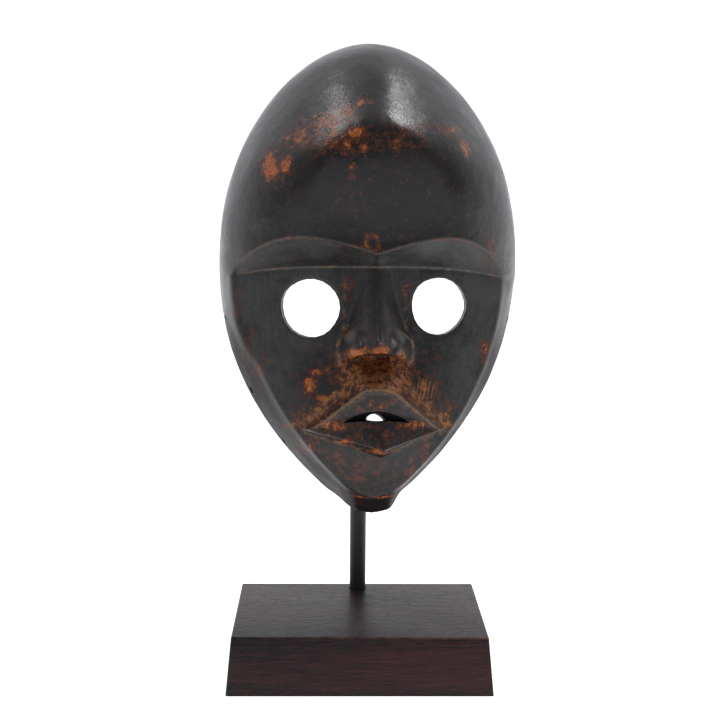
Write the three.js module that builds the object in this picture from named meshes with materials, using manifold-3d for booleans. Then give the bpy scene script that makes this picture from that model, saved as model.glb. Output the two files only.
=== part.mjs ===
// A carved wooden face mask of the round-eyed Dan kind on its display stand:
// the mask in one piece of wood, the round steel rod that it hangs on, and the wooden base.
// Millimetres, +Z up. The face looks along -Y. The origin is the middle of the base's underside.

import * as THREE from 'three';
import { ConvexGeometry } from 'three/addons/geometries/ConvexGeometry.js';
import { mergeVertices } from 'three/addons/utils/BufferGeometryUtils.js';
import Module from 'manifold-3d';

const wasm = await Module();
wasm.setup();

// Base: a block whose four sides lean in towards the top
const BASE_TOP_WIDTH = 117;
const BASE_TOP_DEPTH = 81;
const BASE_HEIGHT = 27;
const BASE_BATTER = 2.5; // how far each side stands out at the foot
const BASE_EDGE = 0.7; // chamfer on every arris

// Rod, which stands in the base and holds the mask up by the inside of its crown
const ROD_DIAMETER = 8;
const ROD_TIP = 1.2; // chamfer at both ends
const ROD_FROM_BACK = 7.5; // rod's axis to the back edge of the base's top
const SOCKET_DEPTH = 18;
const FIT_GAP = 0.3; // left between any two pieces that touch

// Mask, overall
const MASK_HEIGHT = 224;
const MASK_WIDTH = 144.5;
const MASK_DEPTH = 66; // back of the rim to the fullest part of the forehead
const CHIN_HEIGHT = 45.5; // base top to the lowest point of the chin
const MASK_ASIDE = 3.5; // chin's middle, to the right of the rod
const TURN = 3.5; // degrees that the face looks to the right
const LEAN_BACK = 4; // degrees that the crown lies back
const LEAN_ASIDE = 0.4; // degrees that the crown leans to the right

// Mask, walls and holes
const RIM_WALL = 7; // width of the flat rim
const FACE_WALL = 7.5; // thickness over the hollow
const EYE_RADIUS = 13.4;
const EYE_SPLAY = 9; // degrees that each eye hole turns outwards on its way in
const RIM_HOLE_DIAMETER = 3.4;
const RIM_HOLE_DEPTH = 7; // hole's axis in front of the back of the rim
const MOUTH_GAP = 4.6; // tallest part of the gap between the lips
const MOUTH_POCKET = 12; // depth of that gap
const MOUTH_HOLE_WIDTH = 9.5; // the part of it that goes right through
const MOUTH_HOLE_DROP = 12; // degrees that the through hole falls on its way in

// Mask, outline and carving, as shares of its height (H), width (W) and depth (D)
const H = MASK_HEIGHT;
const W = MASK_WIDTH;
const D = MASK_DEPTH;
const WIDEST = 0.537 * H;
const CHIN_CUT = 0.032 * H; // how far the outline's sides would run on below the chin
const CHIN_ROUND = 0.04 * H; // rounding of the corners that this cut makes
const FACE_DEPTH = 0.69 * D; // plane of the eyes and cheeks
const FACE_SLOPE = 0.32; // how fast that plane falls back to the sides
const FACE_RIDGE = 0.085 * W; // rounding of its middle
const SIDE_WIDTH = 0.071 * W; // side wall between the face's edge and the rim, seen from in front
const CHIN_FRONT = 0.8; // share of the face's depth that the chin keeps at its foot
const CHIN_HALF = 0.085 * W; // half-width of that steep facet of the chin
const BROW_DEPTH = 0.865 * D; // forehead just above the brows
const DOME_SIDE = 0.4 * W; // rounding of the forehead at the temples
const DOME_CROWN = 0.417 * H; // and at the crown
const BROW_SPAN = 0.445 * W; // middle to the brow's outer corner
const BROW_CORNER = 0.4995 * H; // height of that corner
const BROW_RISE = 0.0865 * H; // top of the brow's arch above it
const BROW_DIP = 0.42; // share of the rise that is lost at the bridge
const CREASE_RISE = 0.023 * H; // crease under the brow, above the corner
const CORNER_FADE = 0.012 * H; // how softly the brow runs out past its corner
const EYE_SIDE = 0.205 * W;
const EYE_LEVEL = 0.438 * H;
const NOSE_ROOT = 0.5215 * H;
const NOSE_TIP = 0.351 * H; // lower edge of the nose in the middle
const NOSE_WING = 0.331 * H; // and at its wings
const NOSE_RISE = 0.33 * D; // tip in front of the face
const NOSE_ROOT_RISE = 0.06 * D;
const NOSE_ROOT_HALF = 0.055 * W;
const NOSE_HALF = 0.123 * W;
const NOSE_LEAN = 5; // degrees that the underside slopes up on its way out
const WING_SIDE = 0.08 * W;
const WING_RISE = 0.105 * D;
const WING_LEVEL = 0.366 * H;
const MUZZLE_RISE = 0.135 * D;
const MUZZLE_HALF = 0.21 * W;
const MUZZLE_TALL = 0.1 * H;
const MUZZLE_LEVEL = 0.207 * H;
const MOUTH_HALF = 0.211 * W;
const MOUTH_CORNER = 0.187 * H;
const MOUTH_LEVEL = 0.2215 * H; // middle of the line between the lips
const UPPER_LIP_TOP = 0.28 * H;
const UPPER_LIP_HALF = 0.039 * W; // half of its short level top
const LOWER_LIP_FOOT = 0.153 * H;
const LIP_DEPTH = 0.92 * D; // line between the lips, at the middle
const LIP_FALL = 0.45; // how fast the lips fall back to their corners
const LIP_FLARE = 0.06 * D; // how far the outer edge of each lip stands in front of that line
const LIP_FLANK_TOP = 0.1 * H; // spread of the slopes round the lips, down to the hollow
const LIP_FLANK_FOOT = 0.04 * H;
const LIP_FLANK_SIDE = 0.035 * W;
const RIM_HOLE_LEVELS = [0.049 * H, 0.139 * H, 0.25 * H, 0.408 * H];

// Wood and steel
const DARK_WOOD = new THREE.MeshStandardMaterial({ color: 0x3a322e, roughness: 0.45, metalness: 0 });
const BASE_WOOD = new THREE.MeshStandardMaterial({ color: 0x40302e, roughness: 0.35, metalness: 0 });
const BLACK_STEEL = new THREE.MeshStandardMaterial({ color: 0x262626, roughness: 0.5, metalness: 0.2 });

const mix = THREE.MathUtils.lerp;
const smooth = (from, to, value) => THREE.MathUtils.smoothstep(value, from, to);
const clamp = (value) => THREE.MathUtils.clamp(value, 0, 1);
const radians = THREE.MathUtils.degToRad;

// Outline seen from in front: round above, and below it two sides that run in to a blunt chin

function outlineShape(z) {
  const reach = z > WIDEST ? H - WIDEST : WIDEST + CHIN_CUT;
  const crown = smooth(0.4 * H, 0.69 * H, z);
  return {
    up: Math.min(Math.abs(z - WIDEST) / reach, 1),
    fullness: mix(2.275, 2, crown),
    roundness: mix(0.934, 0.543, crown),
  };
}

function inside(x, z) {
  const { up, fullness, roundness } = outlineShape(z);
  return 1 - up ** fullness - Math.abs((2 * x) / W) ** (1 / roundness);
}

function lesser(a, b, blend) {
  const near = Math.max(blend - Math.abs(a - b), 0) / blend;
  return Math.min(a, b) - (near ** 2 * blend) / 4;
}

// Distance in from the outline, true close to it

function fromEdge(x, z) {
  const step = 1e-4 * H;
  const slopeX = (inside(x + step, z) - inside(x - step, z)) / (2 * step);
  const slopeZ = (inside(x, z + step) - inside(x, z - step)) / (2 * step);
  const fromSides = Math.max(inside(x, z), 0) / Math.max(Math.hypot(slopeX, slopeZ), 1e-9);
  return Math.max(lesser(fromSides, z, CHIN_ROUND), 0);
}

// Half of the width at a height, measured to a line that runs round inside the outline

function halfWidth(z, inset = 0) {
  const { up, fullness, roundness } = outlineShape(z);
  const sides = (W / 2) * (1 - up ** fullness) ** roundness;
  if (inset === 0 && z > CHIN_ROUND) {
    return sides;
  }
  let low = 0;
  let high = sides;
  for (let i = 0; i < 30; i++) {
    const middle = (low + high) / 2;
    if (fromEdge(middle, z) > inset) {
      low = middle;
    } else {
      high = middle;
    }
  }
  return low;
}

// Share of the full depth at a distance from the outline

function rounded(distance, width) {
  return Math.sqrt(1 - (1 - clamp(distance / width)) ** 2);
}

function sideWall(distance, chin) {
  const wall = clamp(distance / SIDE_WIDTH) ** 0.75;
  const front = mix(CHIN_FRONT, 1, clamp(distance / SIDE_WIDTH));
  return mix(wall, front * rounded(distance, 0.15 * SIDE_WIDTH), chin);
}

// Brow and crease under it, as heights over x. They run together past the brow's outer corner.

function cornerFade(x) {
  return CORNER_FADE * smooth(0.95 * BROW_SPAN, 1.05 * BROW_SPAN, Math.abs(x));
}

function browLine(x) {
  const along = Math.min(Math.abs(x) / BROW_SPAN, 1);
  const arch = along < 0.5 ? 1 - BROW_DIP * (1 - 2 * along) ** 1.6 : 1 - (2 * along - 1) ** 2.3;
  return BROW_CORNER + BROW_RISE * arch + cornerFade(x);
}

function creaseLine(x) {
  const along = Math.min(Math.abs(x) / BROW_SPAN, 1);
  return BROW_CORNER + CREASE_RISE * (1 - along ** 3) - cornerFade(x);
}

// Mask without its nose and lips: face below the crease, forehead above the brow, a plane between

function facePlane(x, z) {
  const away = (x / MUZZLE_HALF) ** 2 + ((z - MUZZLE_LEVEL) / MUZZLE_TALL) ** 2;
  const cheeks = FACE_SLOPE * (Math.hypot(x, FACE_RIDGE) - FACE_RIDGE);
  return FACE_DEPTH - cheeks + MUZZLE_RISE * Math.exp(-away);
}

function forehead(z) {
  return mix(BROW_DEPTH, D, smooth(0.55 * H, 0.76 * H, z));
}

function domeRounding(z) {
  return mix(DOME_SIDE, DOME_CROWN, smooth(0.72 * H, 0.92 * H, z));
}

function plainDepth(x, z) {
  const edge = fromEdge(x, z);
  const nearFoot = 1 - smooth(0.04 * H, 0.1 * H, z);
  const chin = nearFoot * (1 - smooth(0.6 * CHIN_HALF, 1.4 * CHIN_HALF, Math.abs(x)));
  const low = creaseLine(x);
  const high = browLine(x);
  const share = clamp((z - low) / Math.max(high - low, 1e-6));
  const face = facePlane(x, Math.min(z, low)) * sideWall(edge, chin);
  return mix(face, forehead(Math.max(z, high)) * rounded(edge, domeRounding(z)), share);
}

// Nose: a ridge that widens and rises to its tip, between two rounded wings

function noseRise(x, z) {
  const down = clamp((NOSE_ROOT - z) / (NOSE_ROOT - NOSE_TIP));
  const ridge = mix(NOSE_ROOT_RISE, NOSE_RISE, down ** 1.15) * (1 - smooth(NOSE_ROOT, 1.05 * NOSE_ROOT, z));
  const across = Math.min(Math.abs(x) / mix(NOSE_ROOT_HALF, NOSE_HALF, down ** 1.3), 1);
  const wingX = (Math.abs(x) - WING_SIDE) / (0.45 * WING_SIDE);
  const wingZ = (z - WING_LEVEL) / (0.09 * WING_LEVEL);
  return ridge * (1 - across ** 2) ** 1.5 + WING_RISE * Math.exp(-(wingX ** 2) - wingZ ** 2);
}

// Hollow: follows the outside at the thickness of the walls, and is plain

function hollowDepth(x, z) {
  const up = smooth(0.47 * H, 0.68 * H, z);
  const cheeks = FACE_SLOPE * (Math.hypot(x, FACE_RIDGE) - FACE_RIDGE);
  const full = mix(FACE_DEPTH - cheeks, forehead(z), up) - FACE_WALL;
  const rounding = mix(0.2 * W, domeRounding(z), up);
  return full * rounded(Math.max(fromEdge(x, z) - RIM_WALL, 0), rounding);
}

// Numbers from start to end, with steps that grow from the small ones given at each end

function stations(start, end, atStart, atEnd, largest) {
  const growth = 0.35;
  const list = [start];
  while (list.at(-1) < end) {
    const here = list.at(-1);
    const step = Math.min(atStart + growth * (here - start), atEnd + growth * Math.max(end - here, 0), largest);
    list.push(here + step);
  }
  const stretch = (end - start) / (list.at(-1) - start);
  return list.map((value) => start + (value - start) * stretch);
}

// Closed relief with a flat back. Each row ends on the outline, and the first and last are points.

function reliefGeometry({ rows, columns, pointAt, depthAt, back }) {
  const points = [];
  const add = (x, z, depth) => points.push([x, -depth, z]) - 1;
  const grid = rows.slice(1, -1).map((row) => columns.map((column, j) => {
    const [x, z] = pointAt(row, column);
    const onOutline = j === 0 || j === columns.length - 1;
    return add(x, z, onOutline ? back : depthAt(x, z));
  }));
  const bottom = add(0, pointAt(rows[0], 0)[1], back);
  const top = add(0, pointAt(rows.at(-1), 0)[1], back);
  const end = columns.length - 1;
  const faces = [];
  for (let j = 0; j < end; j++) {
    faces.push(bottom, grid[0][j + 1], grid[0][j]);
    faces.push(top, grid.at(-1)[j], grid.at(-1)[j + 1]);
  }
  for (let i = 0; i < grid.length - 1; i++) {
    for (let j = 0; j < end; j++) {
      const [a, b, c, d] = [grid[i][j], grid[i][j + 1], grid[i + 1][j + 1], grid[i + 1][j]];
      const rising = Math.abs(points[a][1] - points[c][1]) < Math.abs(points[b][1] - points[d][1]);
      faces.push(...(rising ? [a, b, c, a, c, d] : [a, b, d, b, c, d]));
    }
    const [below, above] = [grid[i], grid[i + 1]];
    faces.push(below[0], above[0], above[end], below[0], above[end], below[end]);
  }
  faces.push(bottom, grid[0][0], grid[0][end], top, grid.at(-1)[end], grid.at(-1)[0]);
  const geometry = new THREE.BufferGeometry();
  geometry.setAttribute('position', new THREE.Float32BufferAttribute(points.flat(), 3));
  geometry.setIndex(faces);
  return geometry;
}

// Solids for joining and cutting

function toSolid(geometry, matrix = new THREE.Matrix4()) {
  const placed = geometry.clone().applyMatrix4(matrix);
  placed.deleteAttribute('normal');
  placed.deleteAttribute('uv');
  const merged = mergeVertices(placed, 1e-4);
  return new wasm.Manifold(new wasm.Mesh({
    numProp: 3,
    vertProperties: new Float32Array(merged.attributes.position.array),
    triVerts: new Uint32Array(merged.index.array),
  }));
}

function toGeometry(solid) {
  const mesh = solid.getMesh();
  const geometry = new THREE.BufferGeometry();
  geometry.setAttribute('position', new THREE.BufferAttribute(mesh.vertProperties, 3));
  geometry.setIndex(new THREE.BufferAttribute(mesh.triVerts, 1));
  geometry.computeVertexNormals();
  return geometry;
}

function cylinderBetween(radius, from, to, sides) {
  const along = new THREE.Vector3().subVectors(to, from);
  const geometry = new THREE.CylinderGeometry(radius, radius, along.length(), sides);
  const matrix = new THREE.Matrix4().compose(
    new THREE.Vector3().addVectors(from, to).multiplyScalar(0.5),
    new THREE.Quaternion().setFromUnitVectors(new THREE.Vector3(0, 1, 0), along.normalize()),
    new THREE.Vector3(1, 1, 1),
  );
  return toSolid(geometry, matrix);
}

// Pieces of the mask, in its own frame: the chin's lowest point is on the origin,
// the back of the rim lies in the plane y = 0, and depth is measured towards -Y

function blankSolid() {
  const rest = { crease: creaseLine(0), brow: browLine(0) };
  const step = 0.033 * H;
  const rows = [
    ...stations(0, SIDE_WIDTH, 0.004 * H, 0.01 * H, step),
    ...stations(SIDE_WIDTH, rest.crease, 0.012 * H, 0.01 * H, 0.75 * step).slice(1),
    ...stations(rest.crease, rest.brow, 0.01 * H, 0.01 * H, step).slice(1),
    ...stations(rest.brow, H, 0.012 * H, 0.004 * H, step).slice(1),
  ];
  const heightAt = (row, x) => {
    if (row <= rest.crease) {
      return (row / rest.crease) * creaseLine(x);
    }
    if (row >= rest.brow) {
      return mix(browLine(x), H, (row - rest.brow) / (H - rest.brow));
    }
    return mix(creaseLine(x), browLine(x), (row - rest.crease) / (rest.brow - rest.crease));
  };
  // A column runs from -2 to 2, and at -1 and 1 it follows the edge between the face and the side wall
  const acrossAt = (z, column) => {
    const half = halfWidth(z);
    const step = 1e-3 * H;
    const slope = (halfWidth(Math.min(z + step, H)) - halfWidth(Math.max(z - step, 0))) / (2 * step);
    const face = half - Math.min(SIDE_WIDTH * Math.hypot(1, slope), 0.45 * half);
    const size = Math.abs(column);
    const x = size <= 1 ? face * size : mix(face, half, 1 - (2 - size) ** 1.8);
    return Math.sign(column) * x;
  };
  const pointAt = (row, column) => {
    let z = row;
    let x = 0;
    for (let i = 0; i < 12; i++) {
      x = acrossAt(z, column);
      z = heightAt(row, x);
    }
    return [acrossAt(z, column), z];
  };
  const right = [...stations(0, 1, 0.07, 0.07, 0.085), 1.22, 1.44, 1.64, 1.83, 2];
  const columns = [...right.slice(1).reverse().map((column) => -column), ...right];
  return toSolid(reliefGeometry({ rows, columns, pointAt, depthAt: plainDepth, back: 0 }));
}

function hollowSolid() {
  const behind = 1;
  const rows = stations(RIM_WALL, H - RIM_WALL, 0.005 * H, 0.005 * H, 0.045 * H);
  const right = [0, 0.14, 0.28, 0.42, 0.55, 0.67, 0.78, 0.87, 0.94, 0.98, 1];
  const columns = [...right.slice(1).reverse().map((column) => -column), ...right];
  const pointAt = (z, column) => [column * halfWidth(z, RIM_WALL), z];
  return toSolid(reliefGeometry({ rows, columns, pointAt, depthAt: hollowDepth, back: -behind }));
}

function noseSolid() {
  const sunk = 0.5; // the nose's edges start this far below the face
  const top = 1.05 * NOSE_ROOT;
  const foot = 0.93 * NOSE_WING;
  const rows = stations(foot, top, 0.01 * H, 0.015 * H, 0.016 * H);
  const right = stations(0, NOSE_HALF, 0.011 * W, 0.013 * W, 0.013 * W);
  const columns = [...right.slice(1).reverse().map((column) => -column), ...right];
  const root = plainDepth(0, NOSE_TIP) - FACE_WALL;
  const block = toSolid(reliefGeometry({
    rows,
    columns,
    pointAt: (z, x) => [x, z],
    depthAt: (x, z) => plainDepth(x, Math.min(z, creaseLine(x))) + noseRise(x, z) - sunk,
    back: root,
  }));
  return block.subtract(underNoseSolid(root));
}

function underNoseSolid(root) {
  const arch = new THREE.Shape();
  const side = 1.3 * NOSE_HALF;
  const drop = (NOSE_TIP - NOSE_WING) * (side / NOSE_HALF) ** 2;
  arch.moveTo(-side, NOSE_TIP - 6 * drop);
  arch.lineTo(side, NOSE_TIP - 6 * drop);
  arch.lineTo(side, NOSE_TIP - drop);
  arch.quadraticCurveTo(0, NOSE_TIP + drop, -side, NOSE_TIP - drop);
  const geometry = new THREE.ExtrudeGeometry(arch, { depth: D, bevelEnabled: false, curveSegments: 14 });
  // The arch is drawn at the tip of the nose, and its underside falls from there to the face
  const tip = plainDepth(0, NOSE_TIP) + NOSE_RISE;
  const fall = Math.tan(radians(NOSE_LEAN));
  const matrix = new THREE.Matrix4().makeTranslation(0, -root, -fall * (tip - root))
    .multiply(new THREE.Matrix4().makeShear(0, 0, 0, -fall, 0, 0))
    .multiply(new THREE.Matrix4().makeRotationX(Math.PI / 2));
  return toSolid(geometry, matrix);
}

// Lips: facets that meet at the line between the lips, with steep slopes round them

function mouthLine(x) {
  return mix(MOUTH_LEVEL, MOUTH_CORNER, Math.abs(x / MOUTH_HALF) ** 1.3);
}

function lipDepth(x) {
  const rounding = 0.056 * W;
  return LIP_DEPTH - LIP_FALL * (Math.hypot(x, rounding) - rounding);
}

function lipsSolid() {
  const back = hollowDepth(0, MOUTH_LEVEL) - 1;
  const points = [];
  const add = (x, z, depth) => points.push([x, -depth, z]) - 1;
  const count = 10;
  const line = [];
  for (let i = 0; i <= count; i++) {
    const x = mix(-MOUTH_HALF, MOUTH_HALF, i / count);
    line.push(add(x, mouthLine(x), lipDepth(x)));
  }
  const [left, right, middle] = [line[0], line.at(-1), count / 2];
  const topLeft = add(-UPPER_LIP_HALF, UPPER_LIP_TOP, lipDepth(UPPER_LIP_HALF) + LIP_FLARE);
  const topRight = add(UPPER_LIP_HALF, UPPER_LIP_TOP, lipDepth(UPPER_LIP_HALF) + LIP_FLARE);
  const foot = add(0, LOWER_LIP_FOOT, lipDepth(0) + LIP_FLARE);
  const front = [foot, right, topRight, topLeft, left];
  const behind = [
    add(0, LOWER_LIP_FOOT - LIP_FLANK_FOOT, back),
    add(MOUTH_HALF + LIP_FLANK_SIDE, MOUTH_CORNER, back),
    add(UPPER_LIP_HALF, UPPER_LIP_TOP + LIP_FLANK_TOP, back),
    add(-UPPER_LIP_HALF, UPPER_LIP_TOP + LIP_FLANK_TOP, back),
    add(-MOUTH_HALF - LIP_FLANK_SIDE, MOUTH_CORNER, back),
  ];
  const faces = [line[middle], topRight, topLeft];
  for (let i = 0; i < count; i++) {
    faces.push(line[i], line[i + 1], i < middle ? topLeft : topRight);
    faces.push(line[i], foot, line[i + 1]);
  }
  front.forEach((corner, i) => {
    const next = (i + 1) % front.length;
    faces.push(corner, behind[i], behind[next], corner, behind[next], front[next]);
  });
  faces.push(behind[0], behind[2], behind[1], behind[0], behind[3], behind[2], behind[0], behind[4], behind[3]);
  const geometry = new THREE.BufferGeometry();
  geometry.setAttribute('position', new THREE.Float32BufferAttribute(points.flat(), 3));
  geometry.setIndex(faces);
  return toSolid(geometry);
}

// Gap between the lips: a lens that follows their line, cut from in front to a given depth

function mouthCut(halfLength, gap, from, drop) {
  const lens = new THREE.Shape();
  const rise = (MOUTH_LEVEL - mouthLine(halfLength));
  lens.moveTo(-halfLength, 0);
  lens.quadraticCurveTo(0, 2 * rise - 0.8 * gap, halfLength, 0);
  lens.quadraticCurveTo(0, 2 * rise + 1.2 * gap, -halfLength, 0);
  const depth = 1.2 * D - from;
  const geometry = new THREE.ExtrudeGeometry(lens, { depth, bevelEnabled: false, curveSegments: 8 });
  const matrix = new THREE.Matrix4()
    .makeTranslation(0, -from, mouthLine(halfLength) - Math.tan(radians(drop)) * (LIP_DEPTH - from))
    .multiply(new THREE.Matrix4().makeRotationX(Math.PI / 2 - radians(drop)));
  return toSolid(geometry, matrix);
}

function eyeCut(side) {
  const splay = Math.tan(radians(EYE_SPLAY));
  const surface = facePlane(EYE_SIDE, EYE_LEVEL);
  const at = (depth) => new THREE.Vector3(side * (EYE_SIDE + splay * (surface - depth)), -depth, EYE_LEVEL);
  return cylinderBetween(EYE_RADIUS, at(0.1 * D), at(D), 40);
}

function rimCut(side, level) {
  const step = 1e-3 * H;
  const slope = (halfWidth(level + step) - halfWidth(level - step)) / (2 * step);
  const outward = new THREE.Vector3(side, 0, -slope).normalize();
  const centre = new THREE.Vector3(side * halfWidth(level), -RIM_HOLE_DEPTH, level);
  const inner = centre.clone().addScaledVector(outward, -2.2 * RIM_WALL);
  const outer = centre.clone().addScaledVector(outward, RIM_WALL);
  return cylinderBetween(RIM_HOLE_DIAMETER / 2, inner, outer, 10);
}

function maskGeometry() {
  let solid = blankSolid().add(noseSolid()).add(lipsSolid()).subtract(hollowSolid());
  solid = solid.subtract(mouthCut(0.52 * MOUTH_HALF, MOUTH_GAP, LIP_DEPTH - MOUTH_POCKET, 0));
  solid = solid.subtract(mouthCut(MOUTH_HOLE_WIDTH / 2, MOUTH_GAP, 0.4 * D, MOUTH_HOLE_DROP));
  for (const side of [-1, 1]) {
    solid = solid.subtract(eyeCut(side));
    for (const level of RIM_HOLE_LEVELS) {
      solid = solid.subtract(rimCut(side, level));
    }
  }
  return toGeometry(solid);
}

// The mask's place: the rod passes close behind the chin and goes up inside the hollow

const rodRadius = ROD_DIAMETER / 2;
const rodY = BASE_TOP_DEPTH / 2 - ROD_FROM_BACK;

function chinOpening() {
  let z = RIM_WALL;
  while (halfWidth(z, RIM_WALL) < Math.abs(MASK_ASIDE) + rodRadius + FIT_GAP) {
    z += 0.002 * H;
  }
  return z;
}

function maskPlace() {
  const place = new THREE.Group();
  const clear = rodRadius + FIT_GAP + chinOpening() * Math.sin(radians(LEAN_BACK));
  const turned = (Math.abs(MASK_ASIDE) + rodRadius) * Math.sin(radians(Math.abs(TURN)));
  place.position.set(MASK_ASIDE, rodY - clear - turned, BASE_HEIGHT + CHIN_HEIGHT);
  place.rotation.set(radians(-LEAN_BACK), radians(LEAN_ASIDE), radians(TURN), 'ZXY');
  place.updateMatrixWorld();
  return place;
}

// Height at which the rod's end meets the inside of the crown

function rodTop(place) {
  const toMask = place.matrixWorld.clone().invert();
  const free = (height) => {
    for (let i = 0; i < 24; i++) {
      const angle = (2 * Math.PI * i) / 24;
      for (const [radius, drop] of [[rodRadius, ROD_TIP], [rodRadius - ROD_TIP, 0]]) {
        const point = new THREE.Vector3(
          (radius + FIT_GAP) * Math.cos(angle),
          rodY + (radius + FIT_GAP) * Math.sin(angle),
          height - drop + FIT_GAP,
        ).applyMatrix4(toMask);
        const beyond = point.z > H - RIM_WALL || fromEdge(point.x, point.z) < RIM_WALL;
        if (beyond || hollowDepth(point.x, point.z) < -point.y) {
          return false;
        }
      }
    }
    return true;
  };
  let low = place.position.z + WIDEST;
  let high = place.position.z + 1.05 * H;
  for (let i = 0; i < 40; i++) {
    const middle = (low + high) / 2;
    if (free(middle)) {
      low = middle;
    } else {
      high = middle;
    }
  }
  return low;
}

function rodGeometry(length) {
  const profile = [
    [0, 0],
    [rodRadius - ROD_TIP, 0],
    [rodRadius, ROD_TIP],
    [rodRadius, length - ROD_TIP],
    [rodRadius - ROD_TIP, length],
    [0, length],
  ];
  const points = profile.map(([radius, along]) => new THREE.Vector2(radius, along));
  return new THREE.LatheGeometry(points, 32).rotateX(Math.PI / 2);
}

function baseGeometry() {
  const corners = [];
  for (const x of [-1, 1]) {
    for (const y of [-1, 1]) {
      for (const [z, lean] of [[0, BASE_BATTER], [BASE_HEIGHT, 0]]) {
        const halfX = BASE_TOP_WIDTH / 2 + lean;
        const halfY = BASE_TOP_DEPTH / 2 + lean;
        const inward = z === 0 ? 1 : -1;
        corners.push(new THREE.Vector3(x * (halfX - BASE_EDGE), y * (halfY - BASE_EDGE), z));
        corners.push(new THREE.Vector3(x * halfX, y * (halfY - BASE_EDGE), z + inward * BASE_EDGE));
        corners.push(new THREE.Vector3(x * (halfX - BASE_EDGE), y * halfY, z + inward * BASE_EDGE));
      }
    }
  }
  const foot = new THREE.Vector3(0, rodY, BASE_HEIGHT - SOCKET_DEPTH);
  const mouth = new THREE.Vector3(0, rodY, BASE_HEIGHT + 1);
  const block = toSolid(new ConvexGeometry(corners));
  return toGeometry(block.subtract(cylinderBetween(rodRadius + FIT_GAP, foot, mouth, 32)));
}

const group = new THREE.Group();
const place = maskPlace();
const mask = new THREE.Mesh(maskGeometry(), DARK_WOOD);
mask.name = 'mask';
place.add(mask);
group.add(place);

const rodFoot = BASE_HEIGHT - SOCKET_DEPTH + FIT_GAP;
const rod = new THREE.Mesh(rodGeometry(rodTop(place) - rodFoot), BLACK_STEEL);
rod.name = 'rod';
rod.position.set(0, rodY, rodFoot);
group.add(rod);

const base = new THREE.Mesh(baseGeometry(), BASE_WOOD);
base.name = 'base';
group.add(base);

export default group;
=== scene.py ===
"""Dresses a carved wooden face mask on its display stand: one patinated shell of wood with round
eye holes, the black steel rod that it hangs on, and the dark wooden block that it stands on."""

import math

import bmesh
import bpy
import numpy as np
from bpy.props import FloatProperty, FloatVectorProperty, IntProperty, PointerProperty
from mathutils import Matrix, Vector


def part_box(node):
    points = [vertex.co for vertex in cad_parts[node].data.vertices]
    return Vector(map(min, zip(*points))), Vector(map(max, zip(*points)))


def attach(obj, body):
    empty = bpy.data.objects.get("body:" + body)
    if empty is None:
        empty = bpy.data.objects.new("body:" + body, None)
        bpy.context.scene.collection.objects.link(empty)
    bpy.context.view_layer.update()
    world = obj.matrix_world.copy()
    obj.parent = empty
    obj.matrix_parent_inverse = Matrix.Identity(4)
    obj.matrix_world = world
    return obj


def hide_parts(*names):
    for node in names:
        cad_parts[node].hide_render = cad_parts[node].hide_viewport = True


bl_info = {
    "name": "Carved mask on a stand",
    "version": (1, 0, 0),
    "blender": (4, 5, 0),
    "location": "View3D > Sidebar > Mask",
    "description": "Builds and finishes a carved wooden mask, its rod and its base",
    "category": "Object",
}

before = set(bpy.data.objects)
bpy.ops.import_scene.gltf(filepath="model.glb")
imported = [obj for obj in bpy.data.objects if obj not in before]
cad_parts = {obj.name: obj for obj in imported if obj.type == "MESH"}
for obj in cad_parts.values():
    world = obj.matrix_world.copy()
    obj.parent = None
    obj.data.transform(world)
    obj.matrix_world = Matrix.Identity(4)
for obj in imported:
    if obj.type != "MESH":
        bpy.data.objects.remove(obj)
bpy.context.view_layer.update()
BASE_LOW, BASE_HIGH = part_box("base")
ROD_LOW, ROD_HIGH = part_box("rod")
ROD_X, ROD_Y = ((ROD_HIGH[i] + ROD_LOW[i]) / 2 for i in (0, 1))
ROD_RADIUS = (ROD_HIGH[0] - ROD_LOW[0]) / 2

MM = 0.001


def linear(colour):
    """An sRGB hex colour as linear red, green, blue and alpha."""
    channels = [int(colour[i:i + 2], 16) / 255 for i in (1, 3, 5)]
    return tuple(c / 12.92 if c <= 0.04045 else ((c + 0.055) / 1.055) ** 2.4 for c in channels) + (1.0,)


def length(name, value, description):
    return FloatProperty(name=name, default=value * MM, min=0, unit="LENGTH", description=description)


def degrees(name, value, description):
    return FloatProperty(name=name, default=math.radians(value), unit="ROTATION", description=description)


def colour(name, value, description):
    return FloatVectorProperty(
        name=name, default=linear(value), size=4, subtype="COLOR", min=0, max=1, description=description)


class MaskSizes(bpy.types.PropertyGroup):
    height: length("Height", 224, "Chin to crown, along the back of the rim")
    width: length("Width", 144.5, "Widest part of the outline")
    depth: length("Depth", 66, "Back of the rim to the fullest part of the forehead")
    rim_wall: length("Rim", 7, "Width of the flat rim")
    face_wall: length("Wall", 7.5, "Thickness of the wood over the hollow")
    eye_radius: length("Eye radius", 13.5, "Radius of the round eye holes")
    mouth_gap: length("Mouth gap", 4.6, "Tallest part of the gap between the lips")
    mouth_pocket: length("Mouth pocket", 12, "Depth of the gap between the lips")
    mouth_hole: length("Mouth hole", 9.5, "Width of the hole that goes right through")
    rim_hole: length("Rim holes", 3.4, "Diameter of the small holes in the rim")
    rim_hole_depth: length("Rim hole depth", 7, "Axis of those holes in front of the back of the rim")
    chin_height: length("Chin height", 45.5, "Top of the base to the lowest point of the chin")
    aside: length("Aside", 3.5, "Middle of the chin, to the right of the rod")
    turn: degrees("Turn", 3.5, "How far the face looks to the right")
    lean_back: degrees("Lean back", 4, "How far the crown lies back")
    lean_aside: degrees("Lean aside", 0.4, "How far the crown leans to the right")
    worn_edge: length("Worn edges", 0.75, "How far the carved edges are rubbed round")
    tool_marks: length("Tool marks", 0.45, "Height of the unevenness that the knife left")
    mark_size: length("Mark size", 16, "Width of one such mark")


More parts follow.
